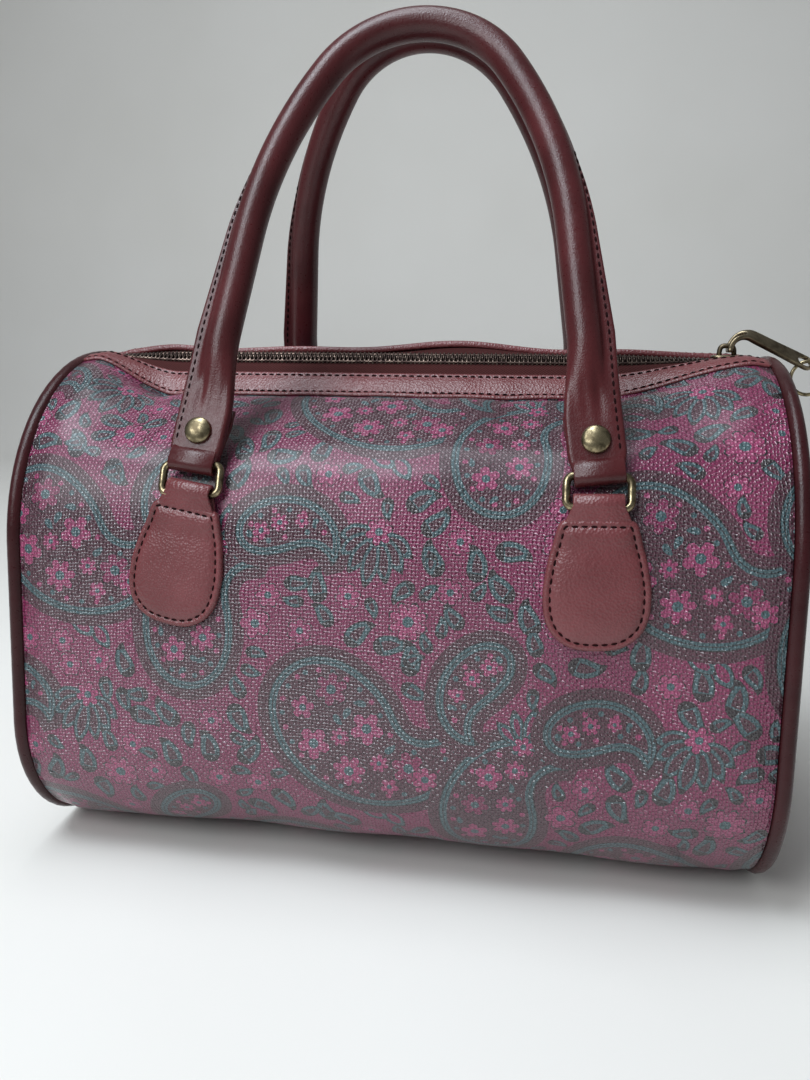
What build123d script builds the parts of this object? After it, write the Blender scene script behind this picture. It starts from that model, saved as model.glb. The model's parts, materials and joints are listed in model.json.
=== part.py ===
from build123d import *
import math
import os

# Boston bag: a printed canvas wrap with piped ends, a zip along the top and two rolled handles.
# Millimetres. X runs along the bag, the front is -Y, Z is up, the origin is the middle of the base.

# Body
bag_length = 320.0
bag_height = 220.0
base_depth = 190.0
arch_radius = 88.0
corner_radius = 60.0
wrap_thickness = 1.8
panel_thickness = 1.8
piping_diameter = 6.5
piping_bend = 12.0
layer_gap = 0.15

# The soft top sinks along a slope from the zip to a shoulder, and is round again at both ends
shoulder_angle = 24.0
shoulder_radius = 40.0
sag_fade = 40.0
shoulder_bends = 3
slope_bends = 3

# Zip: distances across are measured from the middle of the chain
wrap_edge = 11.5
binding_edge = 10.0
binding_width = 13.5
binding_thickness = 1.2
tape_thickness = 0.7
tape_turn_share = 0.75
tooth_pitch = 2.6
tooth_root = 1.25
tooth_tip = 1.0
tooth_reach = 0.8
tooth_height = 2.2
tooth_row_start = 150.0
spine_inner = 1.15
spine_outer = 2.9

# Slider, its puller and the ring on the puller
slider_x = 139.5
slider_length = 12.5
slider_front_width = 10.4
slider_rear_width = 9.2
slider_plate = 1.1
slider_play = 0.3
slider_lip = 1.0
slider_post_length = 3.4
slider_post_width = 2.4
bail_length = 7.6
bail_height = 5.2
bail_wire = 1.4
bail_width = 2.0
puller_bar_diameter = 2.0
puller_bar_drop = 1.6
puller_thickness = 1.6
puller_width = 7.6
puller_neck_radius = 6.5
puller_neck_bend = 20.0
puller_length = 29.0
puller_droop = 26.0
puller_window = 3.4
puller_window_radius = 7.4
puller_hole = 5.8
puller_rim = 1.6
pull_ring_radius = 7.2
pull_ring_wire = 1.6
pull_ring_tilt = 44.0
pull_ring_bends = 8

# Tabs, rings, handles and rivets: two on the front, two on the back
handle_spacing = 160.0
handle_offset = 3.0
lower_bar_height = 165.5
ring_width = 27.0
ring_height = 15.5
ring_wire = 3.2
ring_corner = 2.0
bar_play = 0.3
eye_wall = 1.8
eye_length = 18.8
tab_thickness = 2.2
tab_shoulder_drop = 7.5
tab_shoulder_width = 28.4
tab_width = 40.0
tab_wide_drop = 40.0
tab_drop = 54.0
tab_bottom_width = 35.0
tab_bottom_round = 13.0
tab_shoulder_round = 3.0
front_left_tab_lean = -10.0
front_right_tab_lean = 1.5
roll_diameter = 13.5
handle_rise = 194.0
handle_top_radius = 46.0
leg_length = 100.0
roll_side_bends = 3
roll_top_bends = 6
leg_lean = 7.7
strap_gather = 56.0
apex_gap = 0.4
strap_width = 22.0
strap_foot_width = 16.4
strap_thickness = 4.6
strap_cut = 1.2
flange_thickness = 2.4
rivet_drop = 13.5
rivet_head_diameter = 11.0
rivet_head_height = 2.8
rivet_post_diameter = 4.0
rivet_cap_diameter = 8.0
rivet_cap_height = 1.0
rivet_play = 0.1

# The stitched flange along the outer side of each leg: the way up as a share of the leg's length,
# and how far the flange stands out from the leg's middle as a share of the strap's width
flange_shares = ((0.16, 0.5), (0.56, 0.54), (1.0, 0.42), (1.3, 0.25))

# The rivet's dome, as shares of its radius and height
dome_shares = ((0.87, 0.5), (0.5, 0.87), (0.2, 1.0))

# Where each tooth row's first tooth sits, as a share of the pitch: the rows mesh half a pitch apart
back_teeth_share = 1.0
front_teeth_share = 1.5

octagon_cut_share = 1 - math.sqrt(0.5)
octagon_corner_share = 1 / math.cos(math.pi / 8)
turned_sides = 10

# Places worked out from the sizes above
arch_z = bag_height - arch_radius
piping_radius = piping_diameter / 2
wrap_half = bag_length / 2 - piping_diameter - layer_gap
tape_height = -wrap_thickness - layer_gap
chain_z = bag_height + tape_height - tape_thickness / 2
shoulder_y = (arch_radius - shoulder_radius) * math.cos(math.radians(shoulder_angle))
shoulder_z = arch_z + (arch_radius - shoulder_radius) * math.sin(math.radians(shoulder_angle))
slope = math.atan2(bag_height - shoulder_z, shoulder_y)
slope -= math.asin(shoulder_radius / math.hypot(bag_height - shoulder_z, shoulder_y))
slope_foot_y = shoulder_y + shoulder_radius * math.sin(slope)
slider_reach = slider_front_width / 2 + slider_play
eye_radius = ring_wire / 2 + bar_play + eye_wall
ring_rise = ring_height - ring_wire
lower_bar_radius = arch_radius + layer_gap + eye_radius * octagon_corner_share
lower_bar_y = -math.sqrt(lower_bar_radius ** 2 - (lower_bar_height - arch_z) ** 2)
apex_y = -(roll_diameter * octagon_corner_share + apex_gap) / 2

# The handles lean until their tops meet, or until the straps come to rest on the arch
meeting_lean = math.asin((apex_y - lower_bar_y) / (ring_rise + handle_rise))
arch_lean = math.asin((lower_bar_height - arch_z) / lower_bar_radius)
arch_lean += math.asin(ring_rise / 2 / lower_bar_radius)
handle_lean = min(meeting_lean, arch_lean)
lean_sine = math.sin(handle_lean)
lean_cosine = math.cos(handle_lean)

half_spacing = handle_spacing / 2
handle_plane = Plane(
    origin=(handle_offset, lower_bar_y, lower_bar_height),
    x_dir=(1, 0, 0),
    z_dir=(0, -lean_cosine, lean_sine),
)


def loaf_side(inset):
    """The back half of the bag's end outline in Y and Z, from the base's middle up to the top's."""
    corner_y = base_depth / 2 - corner_radius
    drop = arch_z - corner_radius
    spread = math.acos((arch_radius - corner_radius) / math.hypot(corner_y, drop))
    flare = spread - math.atan2(drop, corner_y)
    flare_degrees = math.degrees(flare)
    corner = CenterArc((corner_y, corner_radius), corner_radius - inset, -90, 90 + flare_degrees)
    arch = CenterArc((0, arch_z), arch_radius - inset, flare_degrees, 90 - flare_degrees)
    return [Line((0, inset), corner @ 0), corner, Line(corner @ 1, arch @ 0), arch]


def loaf(inset):
    """The bag's end outline, an arch over two round bottom corners, drawn in by inset."""
    side = loaf_side(inset)
    return make_face(side + [mirror(edge, about=Plane.YZ) for edge in side])


def along_bag(outline, half_length):
    """An outline in Y and Z carried along the bag, to half_length on both sides of its middle."""
    return extrude(Plane.YZ * outline, amount=half_length, both=True)


def soft_top(across, height, sagged):
    """A place behind the chain in Y and Z, at a height over the canvas, on the arch or on the slope."""
    if sagged and across > slider_reach:
        turn = slope
        canvas_z = bag_height - across * math.tan(slope)
    else:
        turn = math.asin(across / arch_radius)
        canvas_z = arch_z + arch_radius * math.cos(turn)
    return across + height * math.sin(turn), canvas_z + height * math.cos(turn)


def along_top(corners):
    """A soft piece behind the chain, from its corners in Y and Z where the top sags and where it is round.

    Its sides are flat where it only runs along the bag. Where the sag fades out they are flat triangles,
    divided the same way on every piece, so that the layers stay apart."""
    full = wrap_half - sag_fade
    places = ((-wrap_half, False), (-full, True), (full, True), (wrap_half, False))
    rings = [[Vector(x, y, z) for y, z in corners(sagged)] for x, sagged in places]
    faces = [Face(Wire.make_polygon(rings[0])), Face(Wire.make_polygon(rings[-1]))]
    for span, (low, high) in enumerate(zip(rings, rings[1:])):
        for index in range(len(low)):
            a, b, c, d = low[index - 1], low[index], high[index], high[index - 1]
            if places[span][1] == places[span + 1][1]:
                sides = [[a, b, c, d]]
            elif a.Y < b.Y:
                sides = [[a, b, c], [a, c, d]]
            else:
                sides = [[a, b, d], [b, c, d]]
            faces += [Face(Wire.make_polygon(side)) for side in sides]
    return Solid(Shell(faces))


def to_front(solid):
    """The same piece on the other side of the bag."""
    return mirror(solid, about=Plane.XZ)


def shoulder_corners(height, sagged):
    """Corners on the canvas from the shoulder's foot up to the slope, at a height over it."""
    centre_y, centre_z = (shoulder_y, shoulder_z) if sagged else (0, arch_z)
    radius = height + (shoulder_radius if sagged else arch_radius)
    low = math.radians(shoulder_angle)
    high = math.pi / 2 - (slope if sagged else math.asin(slope_foot_y / arch_radius))
    turns = [low + (high - low) * index / shoulder_bends for index in range(shoulder_bends + 1)]
    return [(centre_y + radius * math.cos(turn), centre_z + radius * math.sin(turn)) for turn in turns]


def flap_corners(sagged):
    """The canvas from the shoulder's foot up to its edge at the zip."""
    far = binding_edge + binding_width
    step = (slope_foot_y - far) / slope_bends
    ways = [slope_foot_y - step * index for index in range(1, slope_bends)]
    ways += [far, binding_edge + binding_width / 2, wrap_edge]
    outer = shoulder_corners(0, sagged) + [soft_top(across, 0, sagged) for across in ways]
    inner = shoulder_corners(-wrap_thickness, sagged)
    inner += [soft_top(across, -wrap_thickness, sagged) for across in ways]
    return outer + inner[::-1]


def body_wrap():
    """Front, bottom and back in one piece of canvas, open along the top."""
    reach = base_depth * math.cos(math.radians(shoulder_angle))
    rise = base_depth * math.sin(math.radians(shoulder_angle))
    above = make_face(Polyline(
        (0, arch_z), (reach, arch_z + rise), (0, arch_z + base_depth), (-reach, arch_z + rise), close=True))
    lower = along_bag(loaf(0) - loaf(wrap_thickness) - above, wrap_half)
    back = along_top(flap_corners)
    return lower + back + to_front(back)


def octagon(width, depth, cut):
    """The corners of an eight-sided section: a rectangle with its corners cut off."""
    across = width / 2
    up = depth / 2
    quarter = [(across, up - cut), (across - cut, up)]
    half = quarter + [(-x, y) for x, y in reversed(quarter)]
    return half + [(-x, -y) for x, y in half]


def ring_of_corners(radius):
    """The corners of a many-sided section that stands in for a circle."""
    steps = [2 * math.pi * index / turned_sides for index in range(turned_sides)]
    return [(radius * math.cos(a), radius * math.sin(a)) for a in steps]


def turned(radius, length):
    """A many-sided bar that stands in for a round one, with its middle at the origin."""
    section = make_face(Polyline(*ring_of_corners(radius), close=True))
    return extrude(section, amount=length / 2, both=True)


def frustum(low_plane, low, high_plane, high):
    """A solid with flat sides between two sections with like corners."""
    bottom = [low_plane.from_local_coords(Vector(x, y)) for x, y in low]
    top = [high_plane.from_local_coords(Vector(x, y)) for x, y in high]
    faces = [Face(Wire.make_polygon(bottom)), Face(Wire.make_polygon(top))]
    for index in range(len(bottom)):
        corners = [bottom[index - 1], bottom[index], top[index], top[index - 1]]
        faces.append(Face(Wire.make_polygon(corners)))
    return Solid(Shell(faces))


def cord(diameter):
    """The section of a round cord or wire."""
    corners = octagon(diameter, diameter, diameter * octagon_cut_share)
    return make_face(Polyline(*corners, close=True))


def bent_cord(points, diameter):
    """A cord bent at each point of a line in the XY plane that ends on the Y axis, and its mirror."""
    path = Polyline(*points)
    start = Plane(origin=path @ 0, z_dir=path % 0)
    half = sweep(start * cord(diameter), path=path, transition=Transition.RIGHT)
    return half + mirror(half, about=Plane.YZ)


def bends(edges, turn):
    """The corners of a line that follows lines and arcs, with no bend sharper than turn in degrees."""
    points = [edges[0] @ 0]
    for edge in edges:
        if edge.geom_type == GeomType.CIRCLE:
            angle = edge.length / edge.radius
            count = math.ceil(math.degrees(angle) / turn)
            centre = edge.arc_center
            for index in range(count):
                points.append(centre + (edge @ ((index + 0.5) / count) - centre) / math.cos(angle / count / 2))
    return points + [edges[-1] @ 1]


def piping():
    """The welt round the right end."""
    welt_plane = Plane.YZ.offset(bag_length / 2 - piping_radius)
    return welt_plane * bent_cord(bends(loaf_side(piping_radius), piping_bend), piping_diameter)


def end_panel():
    """The flat end held in the right welt."""
    middle = bag_length / 2 - piping_radius
    return Pos(middle, 0, 0) * along_bag(loaf(piping_diameter + layer_gap), panel_thickness / 2)


def binding_corners(sagged):
    """The leather strip over the back edge of the wrap, with a lip turned down over that edge."""
    middle = binding_edge + binding_width / 2
    far = binding_edge + binding_width
    over = layer_gap + binding_thickness
    lip = wrap_edge - layer_gap
    corners = [(binding_edge, -wrap_thickness), (binding_edge, over), (middle, over), (far, over),
               (far, layer_gap), (middle, layer_gap), (lip, layer_gap), (lip, -wrap_thickness)]
    return [soft_top(across, height, sagged) for across, height in corners]


def tape_corners(sagged):
    """The woven tape from the chain, down beside the lip and on to under the back edge of the wrap."""
    turn = slider_reach + (binding_edge - slider_reach) * tape_turn_share
    middle = binding_edge + binding_width / 2
    ways = [spine_outer + layer_gap, slider_reach, turn, binding_edge, wrap_edge, middle]
    upper = [soft_top(across, tape_height, sagged) for across in ways]
    lower = [soft_top(across, tape_height - tape_thickness, sagged) for across in ways]
    return upper + lower[::-1]


def zip_teeth(start_share):
    """One row of teeth on its spine, behind the chain's middle, ending inside the slider."""
    end = slider_x + slider_length / 2 - slider_post_length - slider_play
    count = int((end + tooth_row_start - tooth_pitch) / tooth_pitch)
    points = [(-tooth_row_start, spine_outer), (-tooth_row_start, spine_inner)]
    for index in range(count):
        x = -tooth_row_start + tooth_pitch * (index + start_share)
        points += [
            (x - tooth_root / 2, spine_inner),
            (x - tooth_tip / 2, -tooth_reach),
            (x + tooth_tip / 2, -tooth_reach),
            (x + tooth_root / 2, spine_inner),
        ]
    points += [(end, spine_inner), (end, spine_outer)]
    row = make_face(Polyline(*points, close=True))
    return extrude(Pos(0, 0, chain_z) * row, amount=tooth_height / 2, both=True)


def zip_slider():
    """Two plates round the chain, joined by a post, with lips over the tape and a bail on top."""
    front = slider_length / 2
    outline = make_face(Polyline(
        (-front, -slider_rear_width / 2), (front, -slider_front_width / 2),
        (front, slider_front_width / 2), (-front, slider_rear_width / 2), close=True))
    room = tooth_height / 2 + slider_play
    upper = extrude(Pos(0, 0, room) * outline, amount=slider_plate)
    lower = extrude(Pos(0, 0, -room) * outline, amount=-slider_plate)
    gap = tape_thickness / 2 + slider_play
    rails = Rectangle(slider_length, slider_front_width)
    rails -= Rectangle(slider_length, slider_rear_width - 2 * slider_lip)
    rails = rails & outline
    upper_lips = extrude(Pos(0, 0, gap) * rails, amount=room - gap)
    lower_lips = extrude(Pos(0, 0, -gap) * rails, amount=gap - room)
    post_x = front - slider_post_length / 2
    post = Pos(post_x, 0, 0) * Box(slider_post_length, slider_post_width, 2 * room)
    bail_outline = RectangleRounded(bail_length, 2 * bail_height, bail_height / 2)
    bail_outline -= RectangleRounded(
        bail_length - 2 * bail_wire, 2 * (bail_height - bail_wire), bail_height / 2 - bail_wire)
    bail_outline &= Pos(0, bail_height) * Rectangle(bail_length, 2 * bail_height)
    bail = extrude(Plane.XZ * bail_outline, amount=bail_width / 2, both=True)
    bail = Pos(0, 0, room + slider_plate) * bail
    return Pos(slider_x, 0, chain_z) * (upper + lower + upper_lips + lower_lips + post + bail)


bail_base_z = chain_z + tooth_height / 2 + slider_play + slider_plate
puller_bar_x = slider_x + bail_length / 2 - bail_wire - slider_play - puller_bar_diameter / 2
puller_bar_z = bail_base_z + bail_height - bail_wire - puller_bar_drop
puller_plane = Plane(origin=(puller_bar_x, 0, puller_bar_z), x_dir=(1, 0, 0), z_dir=(0, -1, 0))


def puller_line():
    """The middle of the puller seen from the front: a neck that rises from its bar, then a straight."""
    neck = JernArc((0, 0), (0, 1), puller_neck_radius, -(90 + puller_droop))
    straight = PolarLine(neck @ 1, puller_length, direction=neck % 1)
    return neck, straight


def puller_hole_place():
    """The middle of the hole near the puller's tip, and the way the puller points there."""
    neck, straight = puller_line()
    back = puller_rim + puller_hole / 2
    way = straight % 1
    return straight @ 1 - way * back, way


def zip_puller():
    """A flat pull with a forked neck whose bar turns under the bail, and a hole at its tip."""
    neck, straight = puller_line()
    side = trace(Polyline(*bends([neck, straight], puller_neck_bend)), line_width=puller_thickness)
    body = extrude(side, amount=puller_width / 2, both=True)
    body -= turned(puller_window_radius, puller_window)
    body += turned(puller_bar_diameter / 2, puller_width)
    place, way = puller_hole_place()
    hole_axis = Plane(origin=place, x_dir=(0, 0, 1), z_dir=(-way.Y, way.X, 0))
    body -= hole_axis * turned(puller_hole / 2, puller_width)
    tip = Plane(origin=straight_end(), x_dir=(0, 0, 1), z_dir=(-way.Y, way.X, 0))
    corner = puller_width / 2
    beyond = Pos(0, corner / 2) * Box(puller_width, corner, puller_width)
    return puller_plane * (body - tip * (beyond - turned(corner, puller_width)))


def straight_end():
    """The place on the puller's middle line where its round tip begins."""
    neck, straight = puller_line()
    way = straight % 1
    return straight @ 1 - way * (puller_width / 2)


def pull_ring():
    """A round wire ring that hangs through the puller's hole."""
    place, way = puller_hole_place()
    down = way.rotate(Axis.Z, -pull_ring_tilt)
    centre = place + down * pull_ring_radius
    steps = [math.pi * (index + 0.5) / pull_ring_bends for index in range(pull_ring_bends)]
    points = [(pull_ring_radius * math.sin(a), -pull_ring_radius * math.cos(a)) for a in steps]
    flat_top = (0, points[-1][1])
    flat_bottom = (0, points[0][1])
    whole = bent_cord([flat_bottom, *points, flat_top], pull_ring_wire)
    return puller_plane * (Pos(centre.X, centre.Y, 0) * whole)


def eye(diameter):
    """A loop or its bore along X, with flat sides."""
    return extrude(Plane.YZ * cord(diameter), amount=eye_length / 2, both=True)


def tab(place_x, lean):
    """A front tab that lies on the wrap, with an eye round the ring's lower bar."""
    neck = eye_length / 2
    shoulder = tab_shoulder_width / 2
    wide = tab_width / 2
    bottom = tab_bottom_width / 2
    half = [(neck, -ring_wire), (neck, -tab_shoulder_drop), (shoulder, -tab_shoulder_drop),
            (wide, -tab_wide_drop), (bottom, -tab_drop)]
    outline = make_face(Polyline(*half, *[(-x, z) for x, z in reversed(half)], close=True))
    outline = fillet(outline.vertices().group_by(Axis.Y)[0], tab_bottom_round)
    shoulders = [v for v in outline.vertices() if abs(abs(v.X) - shoulder) < layer_gap]
    outline = fillet(shoulders, tab_shoulder_round)
    placed = Plane.XZ * Pos(place_x, lower_bar_height) * Rot(0, 0, lean) * outline
    outside = loaf(-layer_gap - tab_thickness) - loaf(-layer_gap)
    patch = extrude(placed, amount=base_depth) & along_bag(outside, bag_length / 2)
    bar = Pos(place_x, lower_bar_y, lower_bar_height)
    return patch + bar * eye(2 * eye_radius) - bar * eye(ring_wire + 2 * bar_play)


def ring(place_u):
    """A rectangular wire ring that stands on its lower bar in the handle's plane."""
    half = ring_width / 2 - ring_wire / 2
    corners = [(0, 0), (half - ring_corner, 0), (half, ring_corner),
               (half, ring_rise - ring_corner), (half - ring_corner, ring_rise), (0, ring_rise)]
    return handle_plane * (Pos(place_u, 0) * bent_cord(corners, ring_wire))


def leg_line(side):
    """The straight leg of the handle: its foot on the ring's bar, its way up and its way outward."""
    lean = math.radians(leg_lean)
    foot = Vector(side * half_spacing, ring_rise)
    way = Vector(-side * math.sin(lean), math.cos(lean))
    return foot, way, Vector(side * way.Y, -side * way.X)


def rivet_place(side):
    """The middle of the rivet in the handle's plane."""
    foot, way, outward = leg_line(side)
    return foot + way * rivet_drop


def handle_leg(side):
    """One foot of the handle: an eye on the ring, a flat strap and its gather into the roll."""
    foot, way, outward = leg_line(side)
    strap = octagon(strap_width, strap_thickness, strap_cut)
    sections = [
        (0, octagon(strap_foot_width, strap_thickness, strap_cut)),
        (eye_radius, octagon(strap_foot_width, strap_thickness, strap_cut)),
        (rivet_drop, strap),
        (2 * rivet_drop, strap),
        (strap_gather, octagon(roll_diameter, roll_diameter, roll_diameter * octagon_cut_share)),
    ]
    planes = [Plane(origin=foot + way * up, x_dir=outward, z_dir=way) for up, corners in sections]
    leg = Pos(foot.X, foot.Y) * eye(2 * eye_radius)
    for index in range(len(sections) - 1):
        low, high = sections[index][1], sections[index + 1][1]
        leg += frustum(planes[index], low, planes[index + 1], high)
    return leg - Pos(foot.X, foot.Y) * eye(ring_wire + 2 * bar_play)


def roll_points():
    """The middle of the right half of the roll: a leg, bends on a long arc, then on the top arc."""
    foot, way, outward = leg_line(1)
    leg_top = foot + way * leg_length
    top_centre = Vector(0, ring_rise + handle_rise - handle_top_radius)
    reach = leg_top - top_centre
    side_radius = (handle_top_radius ** 2 - reach.dot(reach)) / 2 / (handle_top_radius - outward.dot(reach))
    side_centre = leg_top - outward * side_radius
    meet = (top_centre - side_centre).normalized()
    leg_angle = math.atan2(outward.Y, outward.X)
    meet_angle = math.atan2(meet.Y, meet.X)
    side_step = (meet_angle - leg_angle) / roll_side_bends
    top_step = (math.pi / 2 - meet_angle) / (roll_top_bends + 0.5)
    points = [foot + way * strap_gather]
    for index in range(roll_side_bends):
        angle = leg_angle + side_step * index
        points.append(side_centre + Vector(math.cos(angle), math.sin(angle)) * side_radius)
    for index in range(roll_top_bends + 1):
        angle = meet_angle + top_step * index
        points.append(top_centre + Vector(math.cos(angle), math.sin(angle)) * handle_top_radius)
    return points + [Vector(0, points[-1].Y)]


def flange(side):
    """The stitched flange along the outer side of one leg."""
    foot, way, outward = leg_line(side)
    outer = [foot + way * leg_length * up + outward * strap_width * out for up, out in flange_shares]
    low = foot + way * leg_length * flange_shares[0][0]
    high = foot + way * leg_length
    outline = make_face(Polyline(*outer, high, low, close=True))
    return extrude(outline, amount=flange_thickness / 2, both=True)


def handle():
    """The front handle: a rolled arch, its stitched flanges and two feet."""
    body = bent_cord(roll_points(), roll_diameter)
    for side in (-1, 1):
        place = rivet_place(side)
        body += handle_leg(side)
        body += flange(side)
        body -= Pos(place.X, place.Y) * turned(rivet_post_diameter / 2 + rivet_play, roll_diameter)
    return handle_plane * body


def rivet(side):
    """A domed rivet through the front handle's strap, with a flat cap at the back."""
    place = rivet_place(side)
    face = strap_thickness / 2 + rivet_play
    head = rivet_head_diameter / 2
    post = rivet_post_diameter / 2
    cap = rivet_cap_diameter / 2
    profile = [(cap, -face - rivet_cap_height), (cap, -face), (post, -face), (post, face), (head, face)]
    profile += [(head * out, face + rivet_head_height * up) for out, up in dome_shares]
    body = Part()
    for (low_radius, low), (high_radius, high) in zip(profile, profile[1:]):
        if high > low:
            body += frustum(Plane.XY.offset(low), ring_of_corners(low_radius),
                            Plane.XY.offset(high), ring_of_corners(high_radius))
    return handle_plane * (Pos(place.X, place.Y) * body)


def pieces():
    """Every piece under its node name."""
    right_welt = piping()
    right_panel = end_panel()
    binding = along_top(binding_corners)
    tape = along_top(tape_corners)
    left_x = handle_offset - half_spacing
    right_x = handle_offset + half_spacing
    front_handle = handle()
    front_rivets = [rivet(-1), rivet(1)]
    made = {
        "body_wrap": body_wrap(),
        "piping_right": right_welt,
        "piping_left": mirror(right_welt, about=Plane.YZ),
        "end_panel_right": right_panel,
        "end_panel_left": mirror(right_panel, about=Plane.YZ),
        "zip_binding_back": binding,
        "zip_binding_front": to_front(binding),
        "zip_tape_back": tape,
        "zip_tape_front": to_front(tape),
        "zip_teeth_back": zip_teeth(back_teeth_share),
        "zip_teeth_front": to_front(zip_teeth(front_teeth_share)),
        "zip_slider": zip_slider(),
        "zip_puller": zip_puller(),
        "pull_ring": pull_ring(),
        "tab_front_left": tab(left_x, front_left_tab_lean),
        "tab_front_right": tab(right_x, front_right_tab_lean),
        "tab_back_left": to_front(tab(left_x, 0)),
        "tab_back_right": to_front(tab(right_x, 0)),
        "handle_front": front_handle,
        "handle_back": to_front(front_handle),
        "rivets_front": Compound(children=front_rivets),
        "rivets_back": Compound(children=[to_front(one) for one in front_rivets]),
    }
    for name, side in (("left", -1), ("right", 1)):
        front_ring = ring(side * half_spacing)
        made["ring_front_" + name] = front_ring
        made["ring_back_" + name] = to_front(front_ring)
    return made


os.makedirs("parts", exist_ok=True)
for name, solid in pieces().items():
    export_step(solid, "parts/" + name + ".step")
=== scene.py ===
import json
import math

import bpy
import numpy as np
from mathutils import Matrix, Vector
from mathutils.geometry import delaunay_2d_cdt


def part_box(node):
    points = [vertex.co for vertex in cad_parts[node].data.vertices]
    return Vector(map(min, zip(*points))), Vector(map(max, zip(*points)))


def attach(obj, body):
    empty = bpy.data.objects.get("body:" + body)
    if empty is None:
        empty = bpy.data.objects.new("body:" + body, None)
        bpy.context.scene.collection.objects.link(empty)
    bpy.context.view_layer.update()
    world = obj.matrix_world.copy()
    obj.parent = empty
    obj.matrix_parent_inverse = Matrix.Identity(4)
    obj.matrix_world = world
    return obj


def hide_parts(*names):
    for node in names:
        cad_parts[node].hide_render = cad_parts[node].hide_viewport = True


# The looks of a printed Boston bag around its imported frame.
# Lengths are millimetres, and new_object turns them into metres. Lamps are set in metres.
# X runs along the bag, the front is -Y, Z is up.

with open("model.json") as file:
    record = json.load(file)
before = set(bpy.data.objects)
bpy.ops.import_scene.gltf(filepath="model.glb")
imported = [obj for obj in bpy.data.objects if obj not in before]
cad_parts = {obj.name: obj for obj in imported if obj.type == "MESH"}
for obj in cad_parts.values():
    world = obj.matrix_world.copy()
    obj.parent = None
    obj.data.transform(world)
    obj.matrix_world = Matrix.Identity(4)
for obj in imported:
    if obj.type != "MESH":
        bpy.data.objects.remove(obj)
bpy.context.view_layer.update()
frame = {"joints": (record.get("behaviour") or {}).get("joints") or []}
MM = 0.001


def from_frame(point):
    """A place given by the frame, in millimetres."""
    return np.array(point, float) / MM


def node_box(node):
    """The lowest and highest corner of a node, in millimetres."""
    low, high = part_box(node)
    return from_frame(low), from_frame(high)


def joint_place(name):
    """Where a hinge turns, in millimetres."""
    for joint in frame["joints"]:
        if joint["name"] == name:
            return from_frame(joint["pos_m"])


# Body
wrap_half = node_box("body_wrap")[1][0]
bag_half, _, bag_height = node_box("piping_right")[1]
base_depth = 190.0
arch_radius = 88.0
corner_radius = 60.0
wrap_thickness = 1.8
piping_diameter = 6.5
layer_gap = 0.15
wrap_edge = 11.5

# How the soft bag sits: a spot is a way round the bag and a width, and a fade has a start and an end
shoulder_angle = math.radians(24.0)
shoulder_radius = 40.0
sag_fade = 42.0
right_sag_fade = 74.0
sag_fade_end = 2.0
zip_flat_width = 4.0
binding_dip = 4.8
binding_dip_spot = (26.0, 11.0)
zip_tip = 4.6
zip_tip_way = 7.0
zip_tip_fade = (18.0, 40.0)
back_lip = 4.2
back_lip_spot = (12.0, 7.0)
back_wave = 1.6
base_lift = 2.6
base_lift_fade = (45.0, 95.0)
base_end_fade = (95.0, 150.0)
floor_clearance = 0.05
front_bulge = 2.4
front_bulge_spot = (175.0, 60.0)
front_bulge_fade = (60.0, 150.0)
end_tuck = 1.5
end_tuck_length = 9.0
ripple = 0.45
ripple_rise = (20.0, 60.0)
ripple_fade = (135.0, 152.0)

# Zip
binding_edge = 10.0
binding_width = 13.5
binding_thickness = 1.2
binding_stitch_inset = 2.2
tape_thickness = 0.7
tape_edge = 18.0
tape_start = 2.6
chain_low, chain_high = node_box("zip_teeth_back")
chain_z = (chain_low[2] + chain_high[2]) / 2
chain_start = chain_low[0]
chain_end = chain_high[0]
tooth_pitch = 2.0
tooth_width = 0.95
tooth_height = 2.2
tooth_inner = -0.75
tooth_outer = 3.1
tooth_sections = ((0.0, 0.55, 0.8), (0.12, 0.9, 1.0), (0.42, 0.8, 1.0), (0.6, 1.0, 1.0),
                  (0.9, 1.0, 0.95), (1.0, 0.7, 0.6))
tooth_corners = np.array(((-1, 0, -0.6), (-0.6, 0, -1), (0.6, 0, -1), (1, 0, -0.6),
                          (1, 0, 0.6), (0.6, 0, 1), (-0.6, 0, 1), (-1, 0, 0.6)))
bead_offset = 2.5
bead_radius = 0.6

# Handles
ring_wire = 3.2
ring_width = 27.0
ring_corner = 3.0
eye_radius = 3.7
handle_offset = 3.0
half_spacing = 80.0
handle_rise = 194.0
handle_top_radius = 46.0
leg_length = 100.0
leg_lean = math.radians(7.7)
roll_radius = 6.75
strap_width = 22.0
strap_foot_width = 19.4
strap_thickness = 4.6
strap_gather = (20.0, 56.0)
strap_widening = (1.0, 9.0)
pleats = ((2.6, 1.6, 0.9), (-2.6, 1.8, 0.5), (-6.4, 1.5, 0.3))
pleat_spot = (32.0, 9.0)
rivet_drop = 13.5
rivet_head_radius = 5.5
rivet_head_height = 3.0
rivet_cap_radius = 4.0
rivet_cap_height = 1.0

# Tabs: half widths and drops below the ring's lower bar
tab_neck = 9.4
tab_shoulder = 14.2
tab_shoulder_drop = 7.5
tab_wide = 20.0
tab_drop = 54.0
tab_bottom = 17.5
tab_thickness = 2.2
tab_crown = 1.2
tab_crown_way = 4.5
tab_stitch_inset = 2.8
tab_groove = 0.5
tab_groove_width = 0.7
tab_edge_radius = 1.5
tab_lift = 2.4
tab_lift_end = 18.0
tab_rings = (0.2, 0.55, 1.1, 1.8, 2.3, tab_stitch_inset, 3.3, 4.2, 6.0)
tab_grid = 2.4
tab_leans = {"front_left": -10.0, "front_right": 1.5, "back_left": 0.0, "back_right": 0.0}

# Sewing thread
stitch_length = 2.4
stitch_pitch = 3.5
thread_radius = 0.46

# Meshes
fewest_points = 9
weld_distance = 1e-4


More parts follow.
